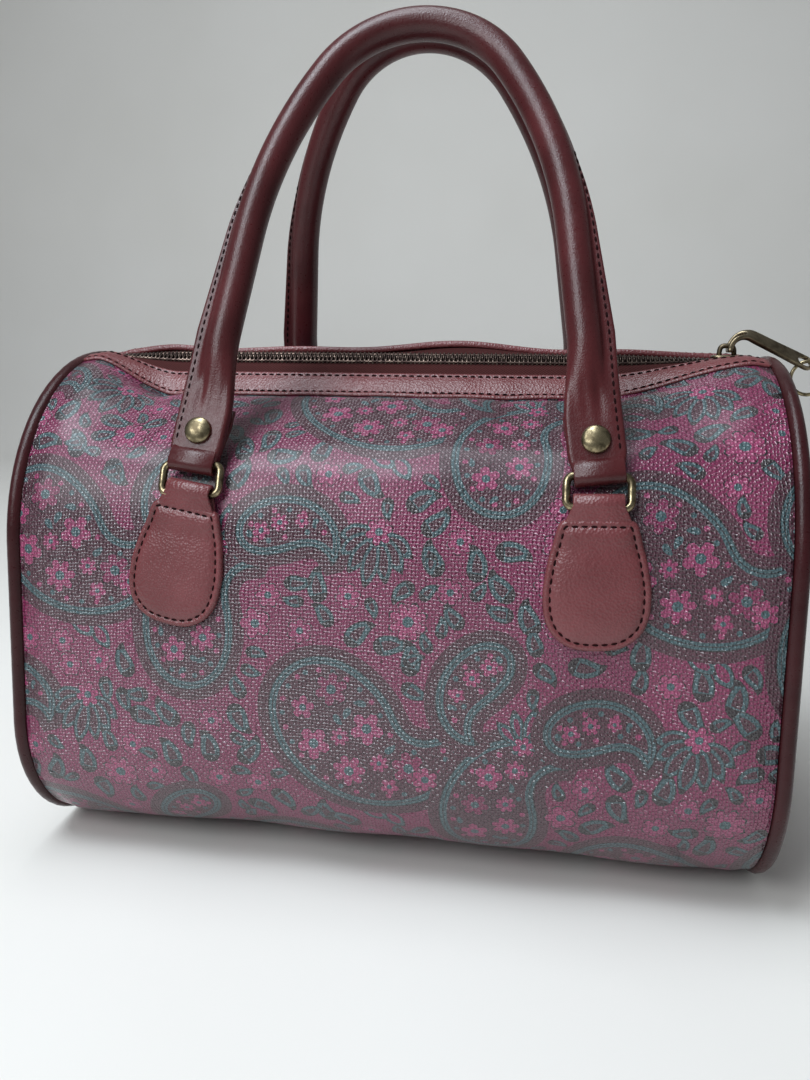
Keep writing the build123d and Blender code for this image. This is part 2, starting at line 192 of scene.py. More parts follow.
# Small tools for points and meshes
def smoothstep(low, high, value):
    """0 at low, 1 at high, and smooth between them."""
    share = np.clip((value - low) / (high - low), 0, 1)
    return share * share * (3 - 2 * share)


def hill(value, centre, width):
    """A smooth hill of height 1."""
    return np.exp(-((value - centre) / width) ** 2)


def unit(vectors):
    """Vectors made one long."""
    return vectors / (np.linalg.norm(vectors, axis=-1, keepdims=True) + 1e-12)


def lengths_along(line):
    """How far along a line of points each of them lies."""
    return np.concatenate(([0], np.cumsum(np.linalg.norm(np.diff(line, axis=0), axis=1))))


def between(places, far, values):
    """Rows of values known at lengths along a line, at other places along it."""
    return np.stack([np.interp(places, far, column) for column in np.asarray(values).T], 1)


def new_object(name, points, faces, material, smooth=True):
    """A mesh of points in millimetres, set in the scene."""
    mesh = bpy.data.meshes.new(name)
    mesh.from_pydata([tuple(p) for p in np.asarray(points, float) * MM], [], faces)
    mesh.validate()
    mesh.materials.append(material)
    for face in mesh.polygons:
        face.use_smooth = smooth
    item = bpy.data.objects.new(name, mesh)
    bpy.context.scene.collection.objects.link(item)
    return item


def add_piece(node, kind, shape, material, body, smooth=True):
    """A piece that stands for a node of the frame and moves with a body."""
    piece = new_object(node + "_" + kind, *shape, material, smooth)
    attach(piece, body)
    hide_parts(node)
    return piece


def flipped(faces):
    """Faces that look the other way."""
    return [face[::-1] for face in faces]


def loft(rings, closed=False):
    """Points and faces of a skin through rings that have the same number of points."""
    rings = np.asarray(rings, float)
    count, sides = rings.shape[:2]
    faces = []
    for ring in range(count if closed else count - 1):
        here = ring * sides
        there = (ring + 1) % count * sides
        for side in range(sides):
            after = (side + 1) % sides
            faces.append((here + side, here + after, there + after, there + side))
    if not closed:
        faces.append(tuple(reversed(range(sides))))
        faces.append(tuple(range((count - 1) * sides, count * sides)))
    return rings.reshape(-1, 3), faces


def joined(parts):
    """One set of points and faces from several."""
    points = []
    faces = []
    for part_points, part_faces in parts:
        start = sum(len(p) for p in points)
        points.append(np.asarray(part_points, float))
        faces += [tuple(start + index for index in face) for face in part_faces]
    return np.concatenate(points), faces


def flat_circle(radius, sides):
    """Points round a circle in a plane of its own."""
    angles = np.arange(sides) * 2 * math.pi / sides
    return np.stack((np.cos(angles), np.sin(angles)), 1) * radius


def tube(line, radius, sides, up, closed=False):
    """A round tube along a line that lies in the plane at right angles to up."""
    line = np.asarray(line, float)
    ahead = np.roll(line, -1, 0) - np.roll(line, 1, 0) if closed else np.gradient(line, axis=0)
    across = np.cross(unit(ahead), up)
    circle = flat_circle(radius, sides)
    rings = [p + circle[:, :1] * a + circle[:, 1:] * np.asarray(up) for p, a in zip(line, across)]
    return loft(rings, closed)


def turned(profile, sides, middle, out, right):
    """A turned solid: radius and height pairs about an axis that points out from middle."""
    away = np.cross(out, right)
    rings = []
    for radius, height in profile:
        circle = flat_circle(radius, sides)
        rings.append(middle + out * height + circle[:, :1] * right + circle[:, 1:] * away)
    return loft(rings)


def resampled(outline, spacing):
    """A closed outline with evenly spaced points."""
    around = np.vstack((outline, outline[:1]))
    far = lengths_along(around)
    count = max(fewest_points, int(round(far[-1] / spacing)))
    return between(np.arange(count) * far[-1] / count, far, around)


def edge_distance(points, outline):
    """How far each point lies from a closed outline."""
    best = np.full(len(points), np.inf)
    for start, end in zip(outline, np.roll(outline, -1, 0)):
        run = end - start
        share = np.clip((points - start) @ run / max(run @ run, 1e-12), 0, 1)
        best = np.minimum(best, np.linalg.norm(points - start - share[:, None] * run, axis=1))
    return best


def inside(points, outline):
    """Which of the points lie inside a closed outline."""
    found = np.zeros(len(points), bool)
    for (x0, y0), (x1, y1) in zip(outline, np.roll(outline, -1, 0)):
        if y0 != y1:
            crosses = (y0 > points[:, 1]) != (y1 > points[:, 1])
            found ^= crosses & (points[:, 0] < (x1 - x0) * (points[:, 1] - y0) / (y1 - y0) + x0)
    return found


def inset(outline, depth):
    """A counter-clockwise outline drawn in by depth, or let out where depth is negative."""
    ahead = unit(np.roll(outline, -1, 0) - np.roll(outline, 1, 0))
    shifted = outline + np.stack((-ahead[:, 1], ahead[:, 0]), 1) * depth
    return shifted[edge_distance(shifted, outline) > abs(depth) * 0.97]


def grid_points(low, high, step):
    """A grid of points over a flat box."""
    return np.mgrid[low[0]:high[0]:step, low[1]:high[1]:step].reshape(2, -1).T + step / 2


def triangulated(loops, loose):
    """Points and triangles of a flat sheet that keeps every loop's edges."""
    points = []
    edges = []
    for outline in loops:
        start = len(points)
        points += [Vector(p) for p in outline]
        edges += [(start + k, start + (k + 1) % len(outline)) for k in range(len(outline))]
    points += [Vector(p) for p in loose]
    flat, _, faces, _, _, _ = delaunay_2d_cdt(points, edges, [], 0, weld_distance, False)
    return np.array([tuple(p) for p in flat]), np.array([f for f in faces if len(f) == 3])


def cropped(flat, faces, kept):
    """The kept triangles, with only the points that they use."""
    used, faces = np.unique(faces[kept], return_inverse=True)
    return flat[used], faces.reshape(-1, 3)


def open_edges(faces):
    """The edges that only one triangle has, as steps from point to point."""
    pairs = np.vstack((faces[:, (0, 1)], faces[:, (1, 2)], faces[:, (2, 0)]))
    twins = {tuple(pair) for pair in pairs}
    return {a: b for a, b in twins if (b, a) not in twins}


# The bag's end outline, by the way round it from the top's middle: front ways are positive
arch_z = bag_height - arch_radius
corner_y = base_depth / 2 - corner_radius
corner_fall = arch_z - corner_radius
flare = math.acos((arch_radius - corner_radius) / math.hypot(corner_y, corner_fall))
flare -= math.atan2(corner_fall, corner_y)
arch_way = arch_radius * (math.pi / 2 - flare)
wall_way = math.sqrt(corner_y ** 2 + corner_fall ** 2 - (arch_radius - corner_radius) ** 2)
corner_way = corner_radius * (math.pi / 2 + flare)
half_way = arch_way + wall_way + corner_way + corner_y
slot_way = arch_radius * math.asin(wrap_edge / arch_radius)


def outline_at(way):
    """Y, Z and the outward normal of the end outline, at ways round it from the top's middle."""
    far = np.abs(way)
    on_arch = math.pi / 2 - far / arch_radius
    past_arch = far - arch_way
    past_wall = past_arch - wall_way
    on_corner = flare - past_wall / corner_radius
    past_corner = past_wall - corner_way
    where = [past_arch < 0, past_wall < 0, past_corner < 0]
    wall_y = arch_radius * math.cos(flare) + past_arch * math.sin(flare)
    wall_z = arch_z + arch_radius * math.sin(flare) - past_arch * math.cos(flare)
    y = np.select(where, [arch_radius * np.cos(on_arch), wall_y,
                          corner_y + corner_radius * np.cos(on_corner)], corner_y - past_corner)
    z = np.select(where, [arch_z + arch_radius * np.sin(on_arch), wall_z,
                          corner_radius + corner_radius * np.sin(on_corner)], 0 * far)
    turn = np.select(where, [on_arch, flare + 0 * far, on_corner], -math.pi / 2)
    side = np.where(np.asarray(way) >= 0, -1.0, 1.0)
    return y * side, z, np.cos(turn) * side, np.sin(turn)


# Soft dents and creases: place along the bag, way round it, size along and round, and depth
dents = (
    (98.0, 178.0, 26.0, 22.0, 2.4),
    (-20.0, 205.0, 40.0, 26.0, 1.2),
    (-112.0, 36.0, 7.0, 16.0, 1.8),
    (-96.0, 34.0, 5.0, 12.0, -1.2),
    (46.0, 44.0, 9.0, 20.0, 1.3),
    (118.0, 60.0, 14.0, 20.0, 1.6),
    (-140.0, 58.0, 10.0, 30.0, -1.5),
    (60.0, -150.0, 40.0, 35.0, 2.0),
    (-70.0, -120.0, 36.0, 40.0, 1.2),
)
crease_x = 121.0
crease_way = 246.0
crease_slope = 0.42
crease_length = 11.0
crease_width = 1.5
crease_depth = 1.3


def top_sag(far):
    """How far the slope and the shoulder lie under the arch, at ways from the top's middle."""
    turn = far / arch_radius
    reach = arch_radius - shoulder_radius
    shoulder_turn = math.pi / 2 - shoulder_angle
    aside = reach * math.sin(shoulder_turn)
    below = arch_radius - reach * math.cos(shoulder_turn)
    slope = math.atan2(below, aside) - math.asin(shoulder_radius / math.hypot(below, aside))
    foot = math.sqrt(below ** 2 + aside ** 2 - shoulder_radius ** 2)
    foot_turn = math.atan2(foot * math.cos(slope), arch_radius - foot * math.sin(slope))
    swing = turn - shoulder_turn
    on_slope = arch_radius * math.cos(slope) / np.cos(np.minimum(turn, foot_turn) - slope)
    past = np.clip(shoulder_radius ** 2 - (reach * np.sin(swing)) ** 2, 0, None)
    on_shoulder = reach * np.cos(swing) + np.sqrt(past)
    sunk = arch_radius - np.where(turn < foot_turn, on_slope, on_shoulder)
    return np.where(turn < shoulder_turn, sunk, 0.0) * (1 - hill(far, 0, zip_flat_width))


def soft_middle(x):
    """The share of the full sag, which fades to nothing at the bag's two stiff ends."""
    fade = np.where(np.asarray(x) > 0, right_sag_fade, sag_fade)
    return 1 - smoothstep(0, 1, (np.abs(x) - wrap_half + fade) / (fade - sag_fade_end))


def zip_tipping(x, way):
    """How far the zip's strip tips down to the front and up to the back."""
    return zip_tip * np.tanh(np.asarray(way) / zip_tip_way) * soft_middle(x)


def slump(x, way):
    """How far the soft bag stands out from its end outline, at places along and round it."""
    far = np.abs(way)
    reach = np.abs(x)
    middle = soft_middle(x)
    out = -(top_sag(far) + binding_dip * hill(far, *binding_dip_spot)) * middle
    waves = np.sin(x / 27.0 + 1.0) + 0.6 * np.sin(x / 13.0)
    lip = (back_lip + back_wave * waves) * hill(far, *back_lip_spot)
    out += np.where(np.asarray(way) < 0, lip, 0) * middle
    out -= zip_tipping(x, way) * (1 - smoothstep(*zip_tip_fade, far))
    out += front_bulge * hill(far, *front_bulge_spot) * (1 - smoothstep(*front_bulge_fade, reach))
    under = 1 - smoothstep(*base_lift_fade, half_way - far)
    out -= base_lift * under * (1 - smoothstep(*base_end_fade, reach))
    out -= end_tuck * smoothstep(wrap_half - end_tuck_length, wrap_half, reach)
    for place, round_way, along, across, depth in dents:
        out -= depth * hill(x, place, along) * hill(way, round_way, across)
    across = (x - crease_x) - crease_slope * (way - crease_way)
    out -= crease_depth * hill(across, 0, crease_width) * hill(way, crease_way, crease_length)
    soft = np.sin(x / 19 + way / 31) + np.sin(x / 33 - way / 17 + 2) + np.sin(x / 11 + way / 43 + 4)
    return out + ripple * soft * smoothstep(*ripple_rise, far) * (1 - smoothstep(*ripple_fade, reach))


def bag_skin(x, way, offset):
    """Points on the soft bag, offset outward from its outer face."""
    x, way, offset = np.broadcast_arrays(np.asarray(x, float), np.asarray(way, float), offset)
    y, z, normal_y, normal_z = outline_at(way)
    out = slump(x, way) + offset
    return np.stack((x, y + normal_y * out, np.maximum(z + normal_z * out, floor_clearance)), -1)


# Print: a generic paisley of curled drops, flowers, leaves and fans
PINK, TEAL, DARK, PLUM, ROSE = range(5)
PRINT_COLOURS = (
    (0.210, 0.012, 0.074),
    (0.048, 0.104, 0.118),
    (0.020, 0.010, 0.015),
    (0.072, 0.013, 0.030),
    (0.330, 0.038, 0.130),
)
LINING_COLOUR = (0.09, 0.03, 0.035)
tile_width = 124.0
tile_height = 148.0
tile_start = (36, -20)
drop_bands = ((-4.4, PLUM), (0, DARK), (0.5, TEAL), (1.75, DARK), (2.1, TEAL), (3.4, PLUM))
bloom_sizes = ((1.0, 160), (0.72, 160), (0.5, 160), (0.34, 240))
leaf_sizes = (7.0, 5.6, 4.4)


def drop_outline(length, width, curl, spacing):
    """A paisley drop about its bulb: round at one end, and a spine that curls to a point."""
    share = np.linspace(0, 1, 260) ** 1.5
    heading = math.radians(curl) * share ** 2.2
    steps = np.diff(share, prepend=0) * length
    spine = np.cumsum(np.stack((np.sin(heading), np.cos(heading)), 1) * steps[:, None], 0)
    side = np.stack((np.cos(heading), -np.sin(heading)), 1)
    half = (width / 2 * 2.6 * np.sqrt(share) * (1 - share))[:, None]
    outline = np.vstack((spine + side * half, (spine - side * half)[::-1]))
    return resampled(outline - (0, length * 0.3), spacing)


def banded(outline, bands):
    """An outline and narrower ones inside it, each with the colour that it shows."""
    shapes = []
    for depth, colour in bands:
        shape = inset(outline, depth) if depth else outline
        if len(shape) > 4:
            shapes.append((shape, colour))
    return shapes


def moved(shapes, place=(0, 0), turn=0.0, mirrored=False):
    """Shapes mirrored, turned and set down at a place."""
    angle = math.radians(turn)
    matrix = np.array(((math.cos(angle), math.sin(angle)), (-math.sin(angle), math.cos(angle))))
    flip = np.array((-1.0 if mirrored else 1.0, 1.0))
    return [(points * flip @ matrix + place, colour) for points, colour in shapes]


def flower(radius, petals, petal_colour):
    """A round flower with rounded petals, a dark line round the larger ones, and an eye."""
    lobe_shares = np.tile((0.56, 0.91, 1.0, 0.91), petals)
    outline = flat_circle(radius, len(lobe_shares)) * lobe_shares[:, None]
    lined = radius > 4
    shapes = [(outline, DARK), (outline * 0.9, petal_colour)] if lined else [(outline, petal_colour)]
    return shapes + [(flat_circle(radius * 0.28, 7), TEAL)]


def leaf(length, width):
    """A small curled leaf in teal with dark lines."""
    outline = drop_outline(length, width, 60, max(1.8, width / 3.0))
    return banded(outline, ((0, DARK), (0.42, TEAL), (0.55 + width * 0.2, PLUM)))


def petal(length, width, core):
    """A pointed petal that grows from the origin."""
    share = np.linspace(0, 1, 60)
    half = width / 2 * np.sin(math.pi * share ** 1.25)
    right = np.stack((half, share * length), 1)
    outline = resampled(np.vstack((right, right[::-1] * (-1, 1))), max(1.5, length / 10))
    return banded(outline, ((0, DARK), (0.42, TEAL), (1.7, core)))


def fan(size, petals, core):
    """A half flower: pointed petals spread from a small base."""
    shapes = []
    for aside in sorted(np.arange(petals) - (petals - 1) / 2, key=lambda k: -abs(k)):
        length = size * (1.0 - 0.1 * abs(aside))
        shapes += moved(petal(length, size * 0.3, core), turn=aside * 150 / petals)
    return shapes + moved(flower(size * 0.24, 6, ROSE), place=(0, size * 0.06))


def big_drop(length, width, curl, bloom, fringe=0):
    """A large curled drop: a dark halo, a double teal outline, a row of dots, and flowers inside."""
    outline = drop_outline(length, width, curl, 2.6)
    centre = outline.mean(0)
    shapes = []
    chance = np.random.default_rng(int(length))
    for index in range(fringe):
        at = outline[int(len(outline) * (0.60 + 0.36 * index / fringe)) % len(outline)]
        away = at - centre
        turn = 90 - math.degrees(math.atan2(away[1], away[0]))
        shapes += moved(petal(width * 0.34, width * 0.15, PINK), place=at, turn=turn)
    shapes += banded(outline, drop_bands)
    rim = inset(outline, 5.9)
    for index in range(0, len(rim), 3):
        shapes.append((flat_circle(1.25, 6) + rim[index], ROSE if index % 6 else TEAL))
    field = inset(outline, 6.6)
    low, high = field.min(0), field.max(0)
    spots = []
    for size, tries in bloom_sizes:
        radius = bloom * size
        for spot in chance.uniform(low, high, (tries, 2)):
            if any(np.linalg.norm(spot - other) < radius * 0.92 + taken for other, taken in spots):
                continue
            if not inside(spot[None], field)[0] or edge_distance(spot[None], field)[0] < radius * 0.7:
                continue
            spots.append((spot, radius))
            if size > 0.4:
                petals = int(chance.integers(5, 8))
                bloom_shapes = flower(radius, petals, (PINK, ROSE)[petals % 2])
                shapes += moved(bloom_shapes, spot, chance.uniform(0, 90))
            else:
                bud = drop_outline(radius * 2.2, radius * 1.1, 45, 1.2)
                shapes += moved([(bud, TEAL)], spot, chance.uniform(0, 360))
    return shapes


def tile_motifs():
    """The large motifs of one repeat, each as shapes set down about the repeat's middle."""
    first = big_drop(96, 50, 165, 7.8, 7)
    second = big_drop(78, 40, -150, 6.4, 5)
    slim = big_drop(52, 23, 140, 4.2)
    return [
        moved(first, (-26, -18), turn=-24),
        moved(second, (38, 22), turn=164),
        moved(slim, (34, -44), turn=58),
        moved(slim, (-50, 50), turn=-118, mirrored=True),
        moved(fan(25, 7, PLUM), (-6, 50), turn=14),
        moved(fan(19, 5, PINK), (52, -14), turn=196),
        moved(flower(8.5, 8, ROSE), (6, -62)),
        moved(flower(7.0, 5, ROSE), (-56, -58)),
        moved(flower(6.0, 6, ROSE), (14, 2)),
    ]


def print_shapes(width, height, seed):
    """The shapes of the print over a sheet, in painting order, with small leaves in the gaps."""
    motifs = tile_motifs()
    shapes = []
    for column in range(-1, int(width / tile_width) + 2):
        for row in range(-1, int(height / tile_height) + 2):
            half_drop = column % 2 / 2
            corner = np.array((column * tile_width, (row + half_drop) * tile_height)) + tile_start
            for motif in motifs:
                shapes += moved(motif, corner)
    low = np.array((-2.0, -2.0))
    high = np.array((width + 2.0, height + 2.0))
    shapes = [(p, c) for p, c in shapes if (p.max(0) > low).all() and (p.min(0) < high).all()]
    return gap_leaves(shapes, width, height, seed) + shapes


def gap_leaves(shapes, width, height, seed):
    """Leaves and small flowers scattered where no larger motif lies, the larger ones first."""
    chance = np.random.default_rng(seed)
    covered = [points for points, colour in shapes if np.ptp(points[:, 0]) > 8]
    cell = 8.0
    busy = {}

    def claim(points):
        for point in points:
            busy.setdefault((int(point[0] // cell), int(point[1] // cell)), []).append(point)

    def room(place):
        column, row = int(place[0] // cell), int(place[1] // cell)
        near = [p for i in (-1, 0, 1) for j in (-1, 0, 1) for p in busy.get((column + i, row + j), ())]
        return min((np.linalg.norm(np.array(near) - place, axis=1).min() if near else cell), cell)

    claim(np.concatenate([points for points, colour in shapes]))
    leaves = []
    for size in leaf_sizes:
        for x in np.arange(2, width, size * 1.3):
            for y in np.arange(2, height, size * 1.3):
                place = np.array((x, y)) + chance.uniform(-size, size, 2) * 0.5
                turn = chance.uniform(0, 360)
                mirrored = bool(chance.integers(2))
                if room(place) < size * 0.76:
                    continue
                close = [o for o in covered if (o.min(0) < place).all() and (o.max(0) > place).all()]
                if any(inside(place[None], o)[0] for o in close):
                    continue
                if size > 5.8 and turn < 120:
                    shape = flower(size * 0.8, 6, ROSE)
                else:
                    shape = leaf(size * 2.3, size * 1.2)
                shape = moved(shape, place, turn, mirrored)
                leaves += shape
                claim(shape[0][0])
    return leaves


def paint(middles, shapes):
    """The colour number of each small triangle, from the last shape that covers its middle."""
    colours = np.full(len(middles), PINK)
    order = np.argsort(middles[:, 0])
    ranked = middles[order]
    for outline, colour in shapes:
        low, high = outline.min(0), outline.max(0)
        first, last = np.searchsorted(ranked[:, 0], (low[0], high[0]))
        some = np.arange(first, last)
        some = some[(ranked[some, 1] >= low[1]) & (ranked[some, 1] <= high[1])]
        hit = some[inside(ranked[some], outline)]
        colours[order[hit]] = colour
    return colours


def printed_sheet(node, size, shapes, boundary, grid, finer, place, heights, material):
    """A closed piece of canvas: a printed outer face, a plain inner face and the edge between them.

    boundary is the sheet's flat outline, and place sets flat points down at the two heights."""
    loose = np.vstack((grid_points((0, 0), size, grid), finer))
    loose = loose[inside(loose, boundary)]
    flat, faces = triangulated([boundary] + [points for points, colour in shapes], loose)
    flat, faces = cropped(flat, faces, inside(flat[faces].mean(1), boundary))
    colours = paint(flat[faces].mean(1), shapes)
    rim = boundary_loop(faces)
    loose = grid_points((0, 0), size, 2 * grid)
    loose = loose[inside(loose, inset(boundary, 1.0))]
    lining, lining_faces = triangulated([flat[rim]], loose)
    lining_faces = lining_faces[inside(lining[lining_faces].mean(1), flat[rim])]
    start = len(flat)
    points = np.vstack((place(flat, heights[0]), place(lining, heights[1])))
    skin = [tuple(face) for face in faces]
    skin += [tuple(start + k for k in face[::-1]) for face in lining_faces]
    after = np.roll(np.arange(len(rim)), -1)
    skin += [(rim[k], start + k, start + after[k], rim[after[k]]) for k in range(len(rim))]
    piece = add_piece(node, "cloth", (points, skin), material, "bag")
    palette = np.array(PRINT_COLOURS + (LINING_COLOUR,))
    colours = np.concatenate((colours, np.full(len(skin) - len(faces), len(PRINT_COLOURS))))
    colour_faces(piece, palette[colours], np.vstack((flat, lining)) / size)


def boundary_loop(faces):
    """The numbers of the points round a sheet's edge, in the order that its triangles go round."""
    following = open_edges(faces)
    loop = [min(following)]
    while following[loop[-1]] != loop[0]:
        loop.append(following[loop[-1]])
    return loop


def colour_faces(piece, colours, flat):
    """Gives each face its print colour, and each point its place on the flat sheet."""
    mesh = piece.data
    attribute = mesh.color_attributes.new("print", "FLOAT_COLOR", "CORNER")
    sides = np.array([face.loop_total for face in mesh.polygons])
    corners = np.repeat(np.hstack((colours, np.ones((len(colours), 1)))), sides, 0)
    attribute.data.foreach_set("color", corners.astype(np.float32).ravel())
    layer = mesh.uv_layers.new(name="sheet")
    numbers = np.zeros(len(mesh.loops), int)
    mesh.loops.foreach_get("vertex_index", numbers)
    layer.data.foreach_set("uv", flat[numbers].astype(np.float32).ravel())


# Materials
weave_pitch = 1.4


class Look:
    """A new material, with short ways to add nodes in front of its shader."""

    def __init__(self, name):
        self.material = bpy.data.materials.new(name)
        self.material.use_nodes = True
        self.tree = self.material.node_tree
        self.where = self.add("TexCoord", {}).outputs["Object"]

    def feed(self, node, inputs):
        """Links sockets to a node's inputs, and sets plain numbers on them."""
        for name, value in inputs.items():
            if isinstance(value, bpy.types.NodeSocket):
                self.tree.links.new(value, node.inputs[name])
            else:
                node.inputs[name].default_value = value
        return node

    def add(self, kind, inputs):
        """A shader node."""
        return self.feed(self.tree.nodes.new("ShaderNode" + kind), inputs)

    def noise(self, scale, detail=3.0):
        """A noise texture over the piece."""
        return self.add("TexNoise", {"Scale": scale, "Detail": detail, "Vector": self.where}).outputs["Fac"]

    def math(self, operation, *values):
        """Arithmetic on sockets and numbers."""
        node = self.add("Math", dict(enumerate(values)))
        node.operation = operation
        return node.outputs[0]

    def ramp(self, value, *stops):
        """Two stops of place and colour, or of place and grey."""
        node = self.add("ValToRGB", {"Fac": value})
        for element, (place, colour) in zip(node.color_ramp.elements, stops):
            element.position = place
            element.color = (*np.broadcast_to(colour, 3), 1)
        return node.outputs["Color"]

    def bump(self, height, strength, distance, under=None):
        """A bumpy normal, over another one if that is given."""
        node = self.add("Bump", {"Strength": strength, "Distance": distance, "Height": height})
        if under is not None:
            self.feed(node, {"Normal": under})
        return node.outputs["Normal"]

    def times(self, colour, factor):
        """A colour times a factor."""
        node = self.add("Mix", {})
        node.data_type = "RGBA"
        node.blend_type = "MULTIPLY"
        return self.feed(node, {"Factor": 1, "A": colour, "B": factor}).outputs["Result"]

    def finished(self, inputs):
        """The material, with its shader's inputs given."""
        self.feed(self.tree.nodes["Principled BSDF"], inputs)
        return self.material


def canvas_material(name, size):
    """Coated canvas: print colours under a glossy coat that follows a plain weave, with painted shade in
    the weave's furrows.
    """
    look = Look(name)
    colour = look.add("VertexColor", {})
    colour.layer_name = "print"
    sheet = look.add("UVMap", {})
    sheet.uv_map = "sheet"
    split = look.add("SeparateXYZ", {0: sheet.outputs["UV"]})
    wander = look.math("MULTIPLY", look.noise(240.0, 2.0), 5.0)
    threads = []
    for axis, length in zip("XY", size):
        turns = look.math("MULTIPLY_ADD", split.outputs[axis], length / weave_pitch * math.pi, wander)
        threads.append(look.math("SINE", turns))
    over = look.math("MULTIPLY", *threads)
    furrow = look.math("MINIMUM", *(look.math("ABSOLUTE", wave) for wave in threads))
    height = look.math("MULTIPLY_ADD", over, 0.45, furrow)
    uneven = look.noise(900.0, 2.0)
    # Painted shade: the print is darkened in the furrows between the threads.
    furrow_shade = look.ramp(furrow, (0.0, (0.62, 0.62, 0.64)), (0.55, 1.0))
    worn = look.ramp(look.noise(26.0, 4.0), (0.25, (0.86, 0.86, 0.88)), (0.75, (1.08, 1.06, 1.06)))
    return look.finished({
        "Base Color": look.times(look.times(colour.outputs["Color"], furrow_shade), worn),
        "Roughness": look.ramp(uneven, (0.3, 0.29), (0.7, 0.40)),
        "Normal": look.bump(height, 0.9, 0.0005, look.bump(uneven, 0.25, 0.0002)),
        "Specular IOR Level": 1.0,
        "Coat Weight": 0.45,
        "Coat Roughness": 0.27,
    })


def leather_material(name, dark, light, roughness, grain=1500.0, depth=0.00012, shine=0.4):
    """Burgundy leather with a fine grain, uneven colour and a soft gloss."""
    look = Look(name)
    cells = look.add("TexVoronoi", {"Scale": grain, "Vector": look.where})
    folds = look.bump(look.noise(160.0, 4.0), 0.18, 0.0006)
    return look.finished({
        "Base Color": look.ramp(look.noise(38.0, 5.0), (0.3, dark), (0.72, light)),
        "Roughness": look.ramp(look.noise(700.0), (0.3, roughness - 0.05), (0.7, roughness + 0.08)),
        "Normal": look.bump(cells.outputs["Distance"], 0.5, depth, folds),
        "Specular IOR Level": shine,
    })


def metal_material(name, bright, dull, roughness, patina):
    """Aged metal plating: bright where it is rubbed and dull in cloudy patches."""
    look = Look(name)
    cloud = look.noise(patina, 6.0)
    return look.finished({
        "Base Color": look.ramp(cloud, (0.40, dull), (0.60, bright)),
        "Roughness": look.ramp(cloud, (0.35, roughness + 0.18), (0.65, roughness)),
        "Normal": look.bump(look.noise(800.0), 0.12, 0.0001),
        "Metallic": 1.0,
    })


def cloth_material(name, colour, pale):
    """Woven zip tape with fine ribs."""
    look = Look(name)
    ribs = look.add("TexWave", {"Scale": 420.0, "Distortion": 1.5, "Vector": look.where})
    ribs.bands_direction = "DIAGONAL"
    return look.finished({
        "Base Color": look.ramp(ribs.outputs["Fac"], (0.2, colour), (0.9, pale)),
        "Normal": look.bump(ribs.outputs["Fac"], 0.5, 0.0003),
        "Roughness": 0.8,
        "Specular IOR Level": 0.15,
    })


wrap_size = np.array((2 * wrap_half, 2 * (half_way - slot_way)))
panel_size = np.array((base_depth, bag_height))
canvas = canvas_material("printed_canvas", wrap_size)
panel_canvas = canvas_material("panel_canvas", panel_size)
# Painted shade: a darker copy of the burgundy leather for the rolled handles, which turn away from the
# light.
leather = leather_material("shaded_handle_leather", (0.050, 0.008, 0.009), (0.086, 0.016, 0.018), 0.31)
# Painted light: a lighter, glossier copy of the burgundy leather for the tabs and the zip's binding, where
# the lamps fall on them.
tab_leather = leather_material(
    "tab_leather", (0.130, 0.027, 0.030), (0.195, 0.049, 0.054), 0.36, 1000.0, 0.0004, 0.6)
# Painted shade: the darkest copy of the burgundy leather, for the piping round the bag's shaded ends.
piping_leather = leather_material(
    "piping_leather", (0.028, 0.005, 0.006), (0.050, 0.009, 0.011), 0.31, shine=0.3)
# Dark thread, made near-black to paint the shade in the stitch holes as well.
thread = leather_material(
    "thread_with_hole_shade", (0.008, 0.002, 0.002), (0.018, 0.004, 0.005), 0.85, 4000.0, shine=0.1)
# Dark burgundy tape, made darker still as painted shade for where it lies between the chain and the
# binding.
shaded_tape_cloth = cloth_material("shaded_tape_cloth", (0.038, 0.008, 0.008), (0.075, 0.019, 0.018))
bronze = metal_material("dark_bronze", (0.15, 0.11, 0.092), (0.05, 0.033, 0.03), 0.3, 500.0)
brass = metal_material("aged_brass", (0.40, 0.33, 0.20), (0.12, 0.096, 0.058), 0.24, 330.0)
dark_brass = metal_material("dark_brass", (0.27, 0.22, 0.145), (0.11, 0.085, 0.055), 0.3, 160.0)


# Body pieces
sheet_edge_step = 3.0
wrap_grid = 5.5
wrap_seed = 5
end_grid = 6.0
end_seed = 9
end_swell = 2.6
end_swell_way = 22.0
end_heights = (0.6, -1.2)
end_seam = piping_diameter * 0.72
pucker_depth = 0.018


def make_wrap():
    """Front, bottom and back: one printed sheet with its edges at the zip."""
    width, girth = wrap_size

    def place(flat, height):
        along = flat[:, 1] + slot_way
        way = np.where(along <= half_way, along, along - 2 * half_way)
        return bag_skin(flat[:, 0] - wrap_half, way, height)

    across = np.linspace(0, width, int(width / sheet_edge_step) + 1)
    up = np.linspace(0, girth, int(girth / sheet_edge_step) + 1)
    sides = ((across, 0 * across), (width + 0 * up, up),
             (across[::-1], girth + 0 * across), (0 * up, up[::-1]))
    boundary = np.vstack([np.stack(side, 1)[:-1] for side in sides])
    rows = np.arange(-2.2, 2.3, 0.55) * crease_width
    run = np.arange(-2, 2.01, 0.12) * crease_length
    aside, along = np.stack(np.meshgrid(rows, run), -1).reshape(-1, 2).T
    crease = np.array((crease_x + wrap_half, crease_way - slot_way))
    finer = crease + np.stack((aside + crease_slope * along, along), 1)
    printed_sheet("body_wrap", wrap_size, print_shapes(width, girth, wrap_seed), boundary, wrap_grid, finer,
                  place, (0.0, -wrap_thickness), canvas)


